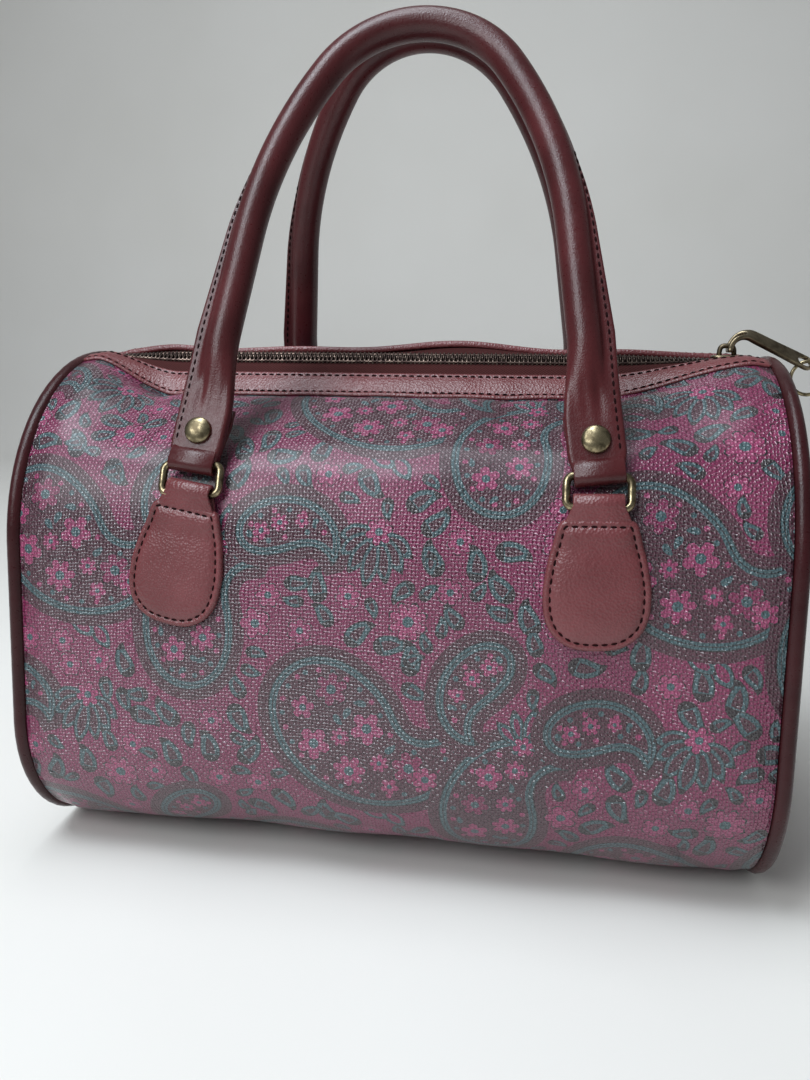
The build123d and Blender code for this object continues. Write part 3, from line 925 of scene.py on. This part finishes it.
def make_end(name, side):
    """One flat end: printed canvas that swells a little inside its piping."""
    ways = np.linspace(-half_way, half_way, 180, endpoint=False)
    y, z, normal_y, normal_z = outline_at(ways)
    outline = np.stack((y - normal_y * end_seam, z - normal_z * end_seam), 1)
    outline = resampled(outline * (side, 1) + (base_depth / 2, 0), sheet_edge_step)
    if np.sum(np.cross(outline, np.roll(outline, -1, 0))) < 0:
        outline = outline[::-1]
    middle = bag_half - piping_diameter / 2

    def place(flat, height):
        out = end_swell * (1 - np.exp(-edge_distance(flat, outline) / end_swell_way)) + height
        return np.stack((side * (middle + out), side * (flat[:, 0] - base_depth / 2), flat[:, 1]), 1)

    shapes = print_shapes(*panel_size, end_seed + side)
    printed_sheet("end_panel_" + name, panel_size, shapes, outline, end_grid, np.zeros((0, 2)), place,
                  end_heights, panel_canvas)


def make_piping(name, side):
    """The leather welt round one end, with a few soft puckers."""
    radius = piping_diameter / 2
    circle = flat_circle(radius, 14)
    ways = np.linspace(-half_way, half_way, 300, endpoint=False)
    rings = []
    for way, y, z, normal_y, normal_z in zip(ways, *outline_at(ways)):
        pucker = 1 + pucker_depth * math.sin(way * 0.9 + 2 * math.sin(way * 0.05))
        out = np.array((0, normal_y, normal_z))
        middle = np.array((side * (bag_half - radius), y, z)) - out * radius
        rings.append(middle + circle[:, :1] * out * pucker + circle[:, 1:] * np.array((side, 0, 0)))
    welt = loft(rings[::-side], closed=True)
    # The welt takes the darkest copy of the leather: painted shade.
    add_piece("piping_" + name, "leather", welt, piping_leather, "bag")


# Stitches
def stitch_row(places, ahead, out):
    """Short threads lying along a row: places, ways along it and ways out of the leather."""
    parts = []
    profile = ((-0.5, 0.35), (-0.36, 0.9), (0.0, 1.0), (0.36, 0.9), (0.5, 0.35))
    circle = flat_circle(thread_radius, 6)
    for place, way, up in zip(places, ahead, out):
        side = np.cross(up, way)
        rings = []
        for share, girth in profile:
            middle = place + way * share * stitch_length - up * abs(share) * thread_radius
            rings.append(middle + (circle[:, :1] * side + circle[:, 1:] * up) * girth)
        parts.append(loft(rings))
    return joined(parts)


def along_line(line, out):
    """Places a stitch apart along a line of points, with the ways along it and out of it."""
    far = lengths_along(line)
    spots = np.arange(stitch_pitch / 2, far[-1] - stitch_pitch / 4, stitch_pitch)
    near = 0.1
    ahead = unit(between(spots + near, far, line) - between(spots - near, far, line))
    normals = between(spots, far, out)
    normals -= ahead * np.sum(normals * ahead, 1)[:, None]
    return between(spots, far, line), ahead, unit(normals)


def sew(name, rows, body):
    """Rows of stitches as one piece."""
    parts = [stitch_row(*along_line(line, out)) for line, out in rows]
    piece = new_object(name + "_stitches", *joined(parts), thread)
    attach(piece, body)


# Zip pieces
def skin_normal(x, way):
    """The soft bag's outward normal."""
    near = 0.4
    along = bag_skin(x + near, way, 0.0) - bag_skin(x - near, way, 0.0)
    around = bag_skin(x, way + near, 0.0) - bag_skin(x, way - near, 0.0)
    return unit(np.cross(around, along))


def zip_strip(places, sections, side):
    """A strip along the zip: at each place, a closed section of ways round the bag and heights."""
    points, faces = loft([bag_skin(x, side * ring[:, 0], ring[:, 1]) for x, ring in zip(places, sections)])
    return points, flipped(faces) if side < 0 else faces


def make_binding(name, side):
    """The leather strip over one canvas edge, turned down at the zip, with two rows of stitches."""
    near = arch_radius * math.asin(binding_edge / arch_radius)
    far = arch_radius * math.asin((binding_edge + binding_width) / arch_radius)
    places = np.linspace(-wrap_half, wrap_half, 190)
    top = binding_thickness + layer_gap
    sections = []
    for x in places:
        edge = far + 0.35 * math.sin(x / 16) + 0.2 * math.sin(x / 5.3)
        puff = 0.22 * math.sin(x / 3.1) * math.sin(x / 23)
        sections.append(np.array((
            (near + 0.9, -wrap_thickness), (near, -wrap_thickness + 0.5), (near - 0.1, -0.4),
            (near + 0.1, top - 0.5), (near + 0.8, top), (near + 1.7, top + 0.1),
            (near + binding_stitch_inset, top - 0.25), (near + 3.3, top + 0.15 + puff),
            ((near + far) / 2, top + 0.45 + puff), (edge - 3.3, top + 0.15 + puff),
            (edge - binding_stitch_inset, top - 0.25), (edge - 1.5, top + 0.1),
            (edge - 0.5, top - 0.1), (edge, top - 0.6), (edge - 0.1, layer_gap * 0.4),
            (near + 2.5, layer_gap * 0.4), (near + 1.6, -0.3))))
    node = "zip_binding_" + name
    # The binding takes the lighter copy of the leather: painted light for its sheen from above.
    add_piece(node, "leather", zip_strip(places, sections, side), tab_leather, "bag")
    rows = []
    for way in (near + binding_stitch_inset, far - binding_stitch_inset):
        line = bag_skin(places, side * way, top + 0.05)
        rows.append((line, skin_normal(places, side * way + 0 * places)))
    sew(node, rows, "bag")


def make_tape(name, side):
    """The woven tape from the chain to under one binding."""
    places = np.linspace(-wrap_half, wrap_half, 150)
    under = -wrap_thickness - 2 * layer_gap
    ways = np.linspace(tape_start, tape_edge, 9)
    arch = np.sin((ways - tape_start) / (tape_edge - tape_start) * math.pi)
    sections = []
    for x in places:
        rise = under + 0.5 * math.sin(x / 21 + side) * arch
        upper = np.stack((ways, rise), 1)
        sections.append(np.vstack((upper, upper[::-1] - (0, tape_thickness))))
    # The tape takes the darker cloth: painted shade under the binding.
    add_piece("zip_tape_" + name, "cloth", zip_strip(places, sections, side), shaded_tape_cloth, "bag")


def tooth(x, side):
    """One zip tooth: a thin rounded bar that bites over the chain's middle."""
    rings = []
    for share, narrow, low in tooth_sections:
        y = side * (tooth_inner + share * (tooth_outer - tooth_inner))
        middle = np.array((x, y, chain_z - float(zip_tipping(x, -y))))
        rings.append(middle + tooth_corners * (tooth_width / 2 * narrow, 0, tooth_height / 2 * low))
    return loft(rings[::side])


def make_teeth(name, side, start):
    """One row of teeth and the bead that they are pressed on."""
    count = int((chain_end - chain_start - tooth_pitch) / tooth_pitch)
    parts = [tooth(chain_start + tooth_pitch * (k + start), side) for k in range(count)]
    run = np.linspace(chain_start, chain_end, 60)
    y = side * bead_offset
    bead = np.stack((run, y + 0 * run, chain_z - zip_tipping(run, -y)), 1)
    parts.append(tube(bead, bead_radius, 8, (0, 0, 1)))
    add_piece("zip_teeth_" + name, "bronze", joined(parts), bronze, "bag", smooth=False)


# Flat and bent plates
def plate(outline, holes, rings, grid, top, bottom):
    """A closed plate: flat points turned into a top and a bottom face that meet round every edge."""
    loops = [outline] + holes
    for depth in rings:
        loops += [inset(outline, depth)] + [inset(hole, -depth) for hole in holes]
    margin = rings[-1] + grid / 2
    loose = grid_points(outline.min(0), outline.max(0), grid)
    loose = loose[inside(loose, inset(outline, margin))]
    for hole in holes:
        loose = loose[edge_distance(loose, hole) > margin]
    flat, faces = triangulated(loops, loose)
    middles = flat[faces].mean(1)
    kept = inside(middles, outline)
    for hole in holes:
        kept &= ~inside(middles, hole)
    flat, faces = cropped(flat, faces, kept)
    edge = open_edges(faces)
    under = np.array([k if k in edge else len(flat) + k for k in range(len(flat))])
    both = np.vstack((faces, under[faces[:, ::-1]]))
    points, skin = cropped(np.vstack((top(flat), bottom(flat))), both, slice(None))
    return points, [tuple(face) for face in skin]


def rounded(corners, step):
    """A smooth closed outline through corner points."""
    corners = np.asarray(corners, float)
    before, after, beyond = (np.roll(corners, k, 0) for k in (1, -1, -2))
    points = []
    for a, b, c, d in zip(before, corners, after, beyond):
        share = np.linspace(0, 1, 12, endpoint=False)[:, None]
        points.append(0.5 * (2 * b + (c - a) * share + (2 * a - 5 * b + 4 * c - d) * share ** 2
                             + (3 * b - a - 3 * c + d) * share ** 3))
    return resampled(np.concatenate(points), step)


def round_edge(depth, radius):
    """Share of the full height, at a depth in from a rounded edge."""
    return np.sqrt(np.clip(1 - (1 - np.clip(depth / radius, 0, 1)) ** 2, 0, 1))


# Handles, their rings and rivets
class Lean:
    """The leaning plane of one handle: u along the bag, v up the lean and w out of it."""

    def __init__(self, name, side):
        lower = joint_place(name + "_rings_tilt")
        upper = joint_place(name + "_handle_tilt")
        self.origin = np.array((handle_offset, lower[1], lower[2]))
        self.rise = np.linalg.norm((upper - lower)[1:])
        self.across = np.array((side, 0.0, 0.0))
        self.up = np.array((0, *(upper - lower)[1:])) / self.rise
        self.out = np.cross(self.across, self.up)

    def at(self, u, v, w):
        """The place of a point of the plane's own frame."""
        u, v, w = (np.asarray(k, float)[..., None] for k in (u, v, w))
        return self.origin + u * self.across + v * self.up + w * self.out


def handle_half(rise):
    """Places, normal angles and lengths along one half of a handle's middle line, foot to top."""
    foot = np.array((half_spacing, rise))
    normal = np.array((math.cos(leg_lean), math.sin(leg_lean)))
    leg_top = foot + leg_length * np.array((-math.sin(leg_lean), math.cos(leg_lean)))
    crown = np.array((0, rise + handle_rise - handle_top_radius))
    reach = leg_top - crown
    side_radius = (reach @ reach - handle_top_radius ** 2) / 2 / (reach @ normal - handle_top_radius)
    side_middle = leg_top - side_radius * normal
    meet = math.atan2(*(crown - side_middle)[::-1])
    legs = np.linspace(0, 1, 60)[:-1, None]
    rows = [np.hstack((foot + (leg_top - foot) * legs, leg_lean + 0 * legs))]
    for middle, radius, first, last in ((side_middle, side_radius, leg_lean, meet),
                                        (crown, handle_top_radius, meet, math.pi / 2)):
        turn = np.linspace(first, last, 40)[:-1, None]
        rows.append(np.hstack((middle + radius * np.hstack((np.cos(turn), np.sin(turn))), turn)))
    rows.append(np.array(((0, rise + handle_rise, math.pi / 2),)))
    rows = np.vstack(rows)
    return rows[:, :2], rows[:, 2], lengths_along(rows[:, :2])


fin_ends = ((0, 16.0, 56.0, 100.0, 128.0, 150.0), (11.0, 11.0, 11.9, 9.6, 7.6, 7.1))
fin_thickness = 1.2
roll_start = 1.5
handle_sewn = (7.0, 134.0)
strip_thickness = 1.7
strip_section = ((-1, -0.5), (-0.96, -0.9), (0.96, -0.9), (1, -0.5),
                 (1, 0.5), (0.96, 0.9), (-0.96, 0.9), (-1, 0.5))


def strap_half(width, thick, count):
    """One face of a flat strap's section, from its outer edge to its inner edge."""
    w, h = width / 2, thick / 2
    outer = [(w, 0), (w - 0.1, h * 0.5), (w - 0.5, h * 0.85), (w - 1.3, h), (w - 2.6, h - 0.15),
             (w - 3.6, h), (w - 5.2, h + 0.05)]
    inner = [(o, h) for o in np.linspace(w - 7, -w + 1.2, count - 10)]
    return np.array(outer + inner + [(-w + 0.5, h * 0.85), (-w + 0.1, h * 0.5), (-w, 0)])


def roll_half(reach, count):
    """One face of a rolled handle's section with the sewn flange on its outer side."""
    long = max(reach - roll_radius, 0.35)
    h = fin_thickness * min(1.0, 0.15 + long / 3)
    foot = roll_radius * 0.97
    groove = 0.15 * min(1, long / 3)
    outer = [(foot + long, 0), (foot + long - 0.05, h * 0.5), (foot + long * 0.95, h * 0.88),
             (foot + long * 0.78, h), (foot + long * 0.55, h - groove), (foot + long * 0.3, h)]
    start = math.asin(min(0.9, h * 0.95 / roll_radius))
    turn = np.linspace(start, math.pi, count - len(outer))
    return np.array(outer + [(roll_radius * math.cos(a), roll_radius * math.sin(a)) for a in turn])


def handle_section(length):
    """The closed section of a handle at a length from its foot: flat strap, gathers, then roll."""
    count = 24
    opened = float(smoothstep(*strap_gather, length))
    widened = float(smoothstep(*strap_widening, length))
    width = strap_foot_width + (strap_width - strap_foot_width) * widened
    flat = strap_half(width, strap_thickness, count)
    rolled = roll_half(float(np.interp(length, *fin_ends)), count)
    half = flat * (1 - opened) + rolled * opened
    gathers = sum(deep * hill(half[:, 0], place, wide) for place, wide, deep in pleats)
    front = half.copy()
    front[1:-1, 1] -= (gathers * hill(length, *pleat_spot))[1:-1]
    back = half[::-1][1:-1] * (1, -1)
    return np.vstack((front, back))


def make_handle(name, side):
    """One rolled leather handle with flat riveted ends folded round its two rings."""
    plane = Lean(name, side)
    places, turns, lengths = handle_half(plane.rise)
    rings = []
    lines = {(face, hand): [] for face in (1, -1) for hand in (1, -1)}
    parts = []
    for hand in (1, -1):
        order = range(len(places)) if hand == 1 else range(len(places) - 2, -1, -1)
        for k in order:
            if lengths[k] < roll_start:
                continue
            section = handle_section(lengths[k])
            normal = np.array((hand * math.cos(turns[k]), math.sin(turns[k])))
            flat = places[k] * (hand, 1) + section[:, :1] * normal
            rings.append(plane.at(flat[:, 0], flat[:, 1], section[:, 1]))
            if handle_sewn[0] < lengths[k] < handle_sewn[1]:
                for face, row in ((1, 4), (-1, len(section) - 4)):
                    lines[face, hand].append(plane.at(*flat[row], section[row, 1] + face * 0.1))
        parts.append(foot_loop(plane, places[0], hand))
    parts.insert(0, loft(rings))
    node = "handle_" + name
    body = name + "_handle"
    # The handle takes the darker copy of the leather: painted shade.
    add_piece(node, "leather", joined(parts), leather, body)
    rows = [(run, np.tile(plane.out * face, (len(run), 1))) for (face, hand), run in lines.items()]
    sew(node, rows, body)
    make_rivets(name, plane, places[0])


def folded_strip(path, half_width, turned_over, place):
    """A strip of leather folded along a path of ways and heights.

    place turns a distance across the strip, a way and a height into a point."""
    path = np.array(path)
    layer = strip_thickness / 2 * turned_over
    rings = []
    for (way, height), (ahead, rise) in zip(path, unit(np.gradient(path, axis=0))):
        half = half_width(way)
        rings.append([place(b * half, way - rise * t * layer, height + ahead * t * layer)
                      for b, t in strip_section])
    return loft(rings)


def foot_loop(plane, foot, hand):
    """The strap's end, folded round the ring's upper bar and up behind the rivet."""
    up = np.array((-hand * math.sin(leg_lean), math.cos(leg_lean)))
    beside = np.array((math.cos(leg_lean), hand * math.sin(leg_lean)))
    bend = eye_radius - strip_thickness / 2
    path = [(25.0, -3.4), (18.0, -3.5), (9.0, -3.2), (4.0, -2.95)]
    path += [(bend * math.sin(a), bend * math.cos(a)) for a in np.linspace(-math.pi, 0, 15)]
    path += [(3.5, 2.3), (7.0, 1.2)]

    def half_width(way):
        return strap_foot_width / 2 - 0.2 + 1.6 * float(smoothstep(6, 16, way))

    def place(across, way, height):
        return plane.at(*(foot * (hand, 1) + up * way + beside * across), height)

    return folded_strip(path, half_width, 1, place)


def make_rivets(name, plane, foot):
    """Domed rivets through both feet of a handle, with flat caps behind."""
    radius, height = rivet_head_radius, rivet_head_height
    head = [(radius * 0.4, -1.0), (radius * 0.96, 0), (radius, height * 0.12), (radius, height * 0.25)]
    head += [(radius * math.cos(a), height * (0.25 + 0.75 * math.sin(a)))
             for a in np.linspace(0.25, 1.5, 9)]
    cap = [(rivet_cap_radius, -0.6), (rivet_cap_radius, 0.5), (rivet_cap_radius * 0.9, rivet_cap_height),
           (0.3, rivet_cap_height * 1.1)]
    parts = []
    for hand in (1, -1):
        middle = foot * (hand, 1) + rivet_drop * np.array((-hand * math.sin(leg_lean), math.cos(leg_lean)))
        front = plane.at(*middle, strap_thickness / 2)
        behind = plane.at(*middle, -strap_thickness / 2 - 1.9)
        parts.append(turned(head, 36, front, plane.out, plane.across))
        parts.append(turned(cap, 24, behind, -plane.out, plane.across))
    add_piece("rivets_" + name, "brass", joined(parts), brass, name + "_handle")


def make_ring(name, side, hand):
    """One rectangular wire ring between a tab and a handle's foot."""
    plane = Lean(name, side)
    half = (ring_width - ring_wire) / 2
    low, high = 0.0, plane.rise
    line = []
    for u, v, first in ((half, low, -90), (half, high, 0), (-half, high, 90), (-half, low, 180)):
        inward = ring_corner if v == low else -ring_corner
        middle = np.array((u - math.copysign(ring_corner, u), v + inward))
        for turn in np.radians(np.linspace(first, first + 90, 8)):
            line.append(middle + ring_corner * np.array((math.cos(turn), math.sin(turn))))
    line = np.array(line) + (hand * side * half_spacing, 0)
    wire = tube(plane.at(line[:, 0], line[:, 1], 0 * line[:, 0]), ring_wire / 2, 16, plane.out, True)
    where = name + ("_right" if hand > 0 else "_left")
    add_piece("ring_" + where, "brass", wire, brass, name + "_rings")


# Tabs
def make_tab(where, side, hand):
    """A padded leather tab sewn to the bag, with a strip that holds the ring's lower bar."""
    lower = joint_place(where.split("_")[0] + "_rings_tilt")
    middle_x = handle_offset + hand * half_spacing
    bar_way = arch_radius * (math.pi / 2 - math.asin((lower[2] - arch_z) / arch_radius))
    stand = math.hypot(lower[1], lower[2] - arch_z) - arch_radius
    lean = math.radians(tab_leans[where])

    def set_down(across, drop, height):
        x = middle_x + across * math.cos(lean) + drop * math.sin(lean)
        way = bar_way + drop * math.cos(lean) - across * math.sin(lean)
        return bag_skin(x, side * way, height)

    corners = [(tab_shoulder * 0.5, tab_shoulder_drop - 1.9), (tab_shoulder - 1.4, tab_shoulder_drop - 1.6),
               (tab_shoulder + 0.6, tab_shoulder_drop + 0.6), (tab_shoulder + 2.4, 14.5),
               (tab_shoulder + 4.0, 20), (tab_wide - 0.2, 29), (tab_wide + 0.1, 35), (tab_wide - 0.6, 42),
               (tab_bottom - 0.7, 48), (11.5, tab_drop - 1.4), (5, tab_drop + 0.5)]
    corners = corners + [(-a, d) for a, d in corners[::-1]]
    outline = rounded(np.array(corners), 1.4)

    def base(flat):
        return layer_gap + tab_lift * (1 - smoothstep(tab_shoulder_drop, tab_lift_end, flat[:, 1]))

    def top(flat):
        depth = edge_distance(flat, outline)
        height = tab_thickness * round_edge(depth, tab_edge_radius)
        height -= tab_groove * hill(depth, tab_stitch_inset, tab_groove_width)
        height += tab_crown * (1 - np.exp(-np.clip(depth - tab_stitch_inset, 0, None) / tab_crown_way))
        return set_down(flat[:, 0], flat[:, 1], base(flat) + height)

    def bottom(flat):
        return set_down(flat[:, 0], flat[:, 1], base(flat))

    points, faces = plate(outline, [], tab_rings, tab_grid, top, bottom)
    parts = [(points, flipped(faces) if side < 0 else faces), tab_loop(set_down, stand)]
    node = "tab_" + where
    # The tab takes the lighter copy of the leather: painted light where it faces the lamps.
    piece = add_piece(node, "leather", joined(parts), tab_leather, "bag")
    row = inset(outline, tab_stitch_inset)
    row = np.vstack((row, row[:1]))
    line = top(row)
    over = set_down(row[:, 0], row[:, 1], 30.0) - set_down(row[:, 0], row[:, 1], 20.0)
    sew(node, [(line + over * 0.015, over / 10.0)], "bag")


def tab_loop(set_down, stand):
    """The strip from under a tab, over the ring's lower bar and back under it."""
    bend = eye_radius - strip_thickness / 2 - layer_gap
    path = [(16.0, 1.5), (11.0, 2.2), (7.5, 3.6)]
    path += [(bend * math.cos(a), stand + bend * math.sin(a)) for a in np.radians(np.linspace(60, 270, 18))]
    path += [(6.0, stand - bend - 0.2), (12.0, 0.9)]

    def half_width(drop):
        return tab_neck + (tab_shoulder - 0.8 - tab_neck) * float(smoothstep(1.5, 9.5, drop))

    return folded_strip(path, half_width, -1, set_down)


# Slider, puller and the ring on the puller
slider_length = 12.5
slider_front = 5.2
slider_rear = 4.6
slider_room = 1.4
slider_plate = 1.1
slider_slot = 0.65
bail_half = 3.1
bail_wire = 1.1
puller_half = 3.8
puller_thickness = 2.3
puller_neck_radius = 6.5
puller_droop = math.radians(26.0)
puller_straight = 29.0
puller_hole = 2.9
puller_twist = math.radians(40.0)
puller_rim = 1.6
puller_bar = 1.0
pull_ring_radius = 7.2
pull_ring_wire = 0.8


def block(low, high):
    """A small block with slightly narrowed ends, between two corners."""
    (x0, y0, z0), (x1, y1, z1) = low, high
    cut = min(x1 - x0, y1 - y0, z1 - z0) * 0.22
    rings = []
    for x, inward in ((x0, cut), (x0 + cut, 0), (x1 - cut, 0), (x1, cut)):
        y_low, y_high, z_low, z_high = y0 + inward, y1 - inward, z0 + inward, z1 - inward
        rings.append([(x, y_low + cut, z_low), (x, y_high - cut, z_low), (x, y_high, z_low + cut),
                      (x, y_high, z_high - cut), (x, y_high - cut, z_high), (x, y_low + cut, z_high),
                      (x, y_low, z_high - cut), (x, y_low, z_low + cut)])
    return loft(rings)


def make_slider():
    """The slider's two crowned plates, their side lips, the post and the bail."""
    low, high = node_box("zip_slider")
    middle = (low[0] + high[0]) / 2
    half = slider_length / 2
    corners = [(-half, -slider_rear * 0.55), (-half * 0.55, -slider_rear),
               (half * 0.2, -slider_front * 0.97), (half * 0.85, -slider_front),
               (half, -slider_front * 0.72), (half * 0.88, 0.0)]
    corners = corners + [(a, -b) for a, b in corners[-2::-1]]
    outline = rounded(corners, 0.7)
    room = chain_z + slider_room
    parts = []
    for side in (1, -1):
        def level(flat, height, side=side):
            return np.stack((flat[:, 0] + middle, flat[:, 1], chain_z + side * (slider_room + height)), 1)

        def face(flat, level=level):
            depth = edge_distance(flat, outline)
            return level(flat, slider_plate * round_edge(depth, 0.8) + 0.25 * (1 - np.exp(-depth / 2)))

        def back(flat, level=level):
            return level(flat, np.zeros(len(flat)))

        points, faces = plate(outline, [], (0.15, 0.45, 0.9), 1.3, face, back)
        parts.append((points, faces if side > 0 else flipped(faces)))
        for hand in (1, -1):
            y = sorted((hand * (slider_rear - 1.0), hand * (slider_rear - 0.1)))
            z = sorted((chain_z + side * slider_slot, chain_z + side * (slider_room + 0.4)))
            parts.append(block((middle - half * 0.7, y[0], z[0]), (middle + half * 0.75, y[1], z[1])))
    post = middle + half
    parts.append(block((post - 3.4, -1.2, chain_z - slider_room), (post - 0.6, 1.2, room)))
    base = room + slider_plate * 0.7
    turn = np.linspace(math.pi, 0, 25)
    bow = [(middle + bail_half * math.copysign(abs(math.cos(a)) ** 0.55, math.cos(a)), 0.0,
            base + (high[2] - base - bail_wire) * math.sin(a) ** 0.55) for a in turn]
    points, faces = tube(bow, bail_wire, 10, (0, 1, 0))
    parts.append((points * (1, 1.25, 1), faces))
    add_piece("zip_slider", "brass", joined(parts), dark_brass, "slider")


def make_puller():
    """A flat pull with a bent, forked neck whose bar turns under the bail, and a hole at its tip."""
    bar = joint_place("puller_swing")
    neck = puller_neck_radius * (math.pi / 2 + puller_droop)
    length = neck + puller_straight
    half = puller_half
    side = [(-1.0, half * 0.8), (0.0, half), (4.0, half), (9.0, half * 0.9), (14.0, half * 0.86),
            (24.0, half * 0.9), (length - 9.0, half)]
    side += [(length - half + half * math.sin(a), half * math.cos(a))
             for a in np.linspace(0, math.pi / 2, 7)]
    corners = [(a, -b) for a, b in side] + [(a, b) for a, b in side[-2::-1]]
    outline = resampled(np.array(corners), 0.9)
    window = rounded([(1.8, -1.7), (8.6, -1.7), (10.2, 0), (8.6, 1.7), (1.8, 1.7)], 0.8)
    hole = flat_circle(puller_hole, 20) + (length - puller_rim - puller_hole, 0)

    def set_down(flat, height):
        a = flat[:, 0]
        twist = puller_twist * smoothstep(3.0, 15.0, a)
        across = flat[:, 1] * np.cos(twist) - height * np.sin(twist)
        height = height * np.cos(twist) + flat[:, 1] * np.sin(twist)
        turn = math.pi - np.minimum(a, neck) / puller_neck_radius
        past = np.clip(a - neck, 0, None)
        reach = puller_neck_radius + height
        x = bar[0] + puller_neck_radius + reach * np.cos(turn) + past * math.cos(puller_droop)
        z = bar[2] + reach * np.sin(turn) - past * math.sin(puller_droop)
        return np.stack((x, across, z), 1)

    def thick(flat):
        depth = np.min([edge_distance(flat, edge) for edge in (outline, window, hole)], 0)
        return puller_thickness / 2 * round_edge(depth, 0.55)

    points, faces = plate(outline, [window, hole], (0.12, 0.35, 0.7), 1.6,
                          lambda flat: set_down(flat, thick(flat)),
                          lambda flat: set_down(flat, -thick(flat)))
    rod = [(puller_bar * 0.8, -half), (puller_bar, -half + 0.3),
           (puller_bar, half - 0.3), (puller_bar * 0.8, half)]
    parts = [(points, faces), turned(rod, 16, bar, np.array((0, 1.0, 0)), np.array((1.0, 0, 0)))]
    add_piece("zip_puller", "brass", joined(parts), dark_brass, "puller")


def make_pull_ring():
    """The wire ring that hangs through the puller's hole."""
    low, high = node_box("pull_ring")
    middle = (low + high) / 2
    line = middle + np.insert(flat_circle(pull_ring_radius, 48), 1, 0, axis=1)
    wire = tube(line, pull_ring_wire, 12, (0, 1, 0), True)
    add_piece("pull_ring", "brass", wire, brass, "puller_ring")


# Stage, light and camera
floor_front = -2500
floor_back = 1100
floor_side = 3500
floor_bend = 500
backdrop_top = 3200
lamps = (
    ("ceiling", (-0.15, 0.05, 1.6), 0.55, 6, (0.88, 0.95, 1.0)),
    ("high", (-0.42, -0.5, 1.45), 0.6, 15, (0.86, 0.94, 1.0)),
    ("window", (-0.7, -1.15, 1.05), 0.7, 11, (0.93, 0.97, 1.0)),
)
lamp_target = Vector((0, 0, 0.15))
room_colour = (0.80, 0.84, 0.88, 1)
room_strength = 0.19
view_place = Vector((63.9, -410.34, 225.7))
view_yaw = math.radians(9.362)
view_pitch = math.radians(12.896)
view_roll = math.radians(0.305)
focal_pixels = 870
photo_height = 1080


def make_stage():
    """A pale floor that curves up into a backdrop."""
    look = Look("pale_floor")
    tint = look.ramp(look.noise(3.0), (0.3, (0.80, 0.775, 0.735)), (0.7, (0.84, 0.815, 0.78)))
    material = look.finished({"Base Color": tint, "Roughness": 0.6})
    line = [(floor_front, 0), (floor_back, 0)]
    line += [(floor_back + floor_bend * math.sin(a), floor_bend - floor_bend * math.cos(a))
             for a in np.linspace(0.1, math.pi / 2, 14)]
    line.append((floor_back + floor_bend, backdrop_top))
    points = [(x, y, z) for x in (-floor_side, floor_side) for y, z in line]
    count = len(line)
    faces = [(k, k + count, k + count + 1, k + 1) for k in range(count - 1)]
    new_object("floor", points, faces, material)


def make_light():
    """Two cool lights over the bag and a softer one from the left, in a pale room."""
    world = bpy.data.worlds.new("room")
    world.use_nodes = True
    background = world.node_tree.nodes["Background"]
    background.inputs["Color"].default_value = room_colour
    background.inputs["Strength"].default_value = room_strength
    bpy.context.scene.world = world
    for name, place, size, power, colour in lamps:
        lamp = bpy.data.lights.new(name, "AREA")
        lamp.shape = "RECTANGLE"
        lamp.size = lamp.size_y = size
        lamp.energy = power
        lamp.color = colour
        holder = bpy.data.objects.new(name, lamp)
        holder.location = place
        holder.rotation_euler = (lamp_target - Vector(place)).to_track_quat("-Z", "Y").to_euler()
        bpy.context.scene.collection.objects.link(holder)


def make_camera():
    """The photograph's view, from a little right of the bag's middle, looking down at it."""
    level = math.cos(view_pitch)
    ahead = Vector((-math.sin(view_yaw) * level, math.cos(view_yaw) * level, -math.sin(view_pitch)))
    camera = bpy.data.cameras.new("photo_view")
    camera.sensor_fit = "AUTO"
    camera.sensor_width = 36.0
    camera.lens = camera.sensor_width * focal_pixels / photo_height
    camera.clip_start = 0.01
    holder = bpy.data.objects.new("photo_view", camera)
    turn = ahead.to_track_quat("-Z", "Y").to_matrix() @ Matrix.Rotation(view_roll, 3, "Z")
    holder.matrix_world = Matrix.Translation(view_place * MM) @ turn.to_4x4()
    bpy.context.scene.collection.objects.link(holder)
    bpy.context.scene.camera = holder


make_stage()
make_light()
make_camera()
make_wrap()
for name, side in (("left", -1), ("right", 1)):
    make_end(name, side)
    make_piping(name, side)
for name, side, start in (("front", 1, 1.5), ("back", -1, 1.0)):
    make_binding(name, side)
    make_tape(name, side)
    make_teeth(name, -side, start)
    make_handle(name, side)
    for hand in (1, -1):
        make_ring(name, side, hand)
        make_tab(name + ("_right" if hand > 0 else "_left"), side, hand)
make_slider()
make_puller()
make_pull_ring()

bpy.context.scene.view_settings.view_transform = "Standard"
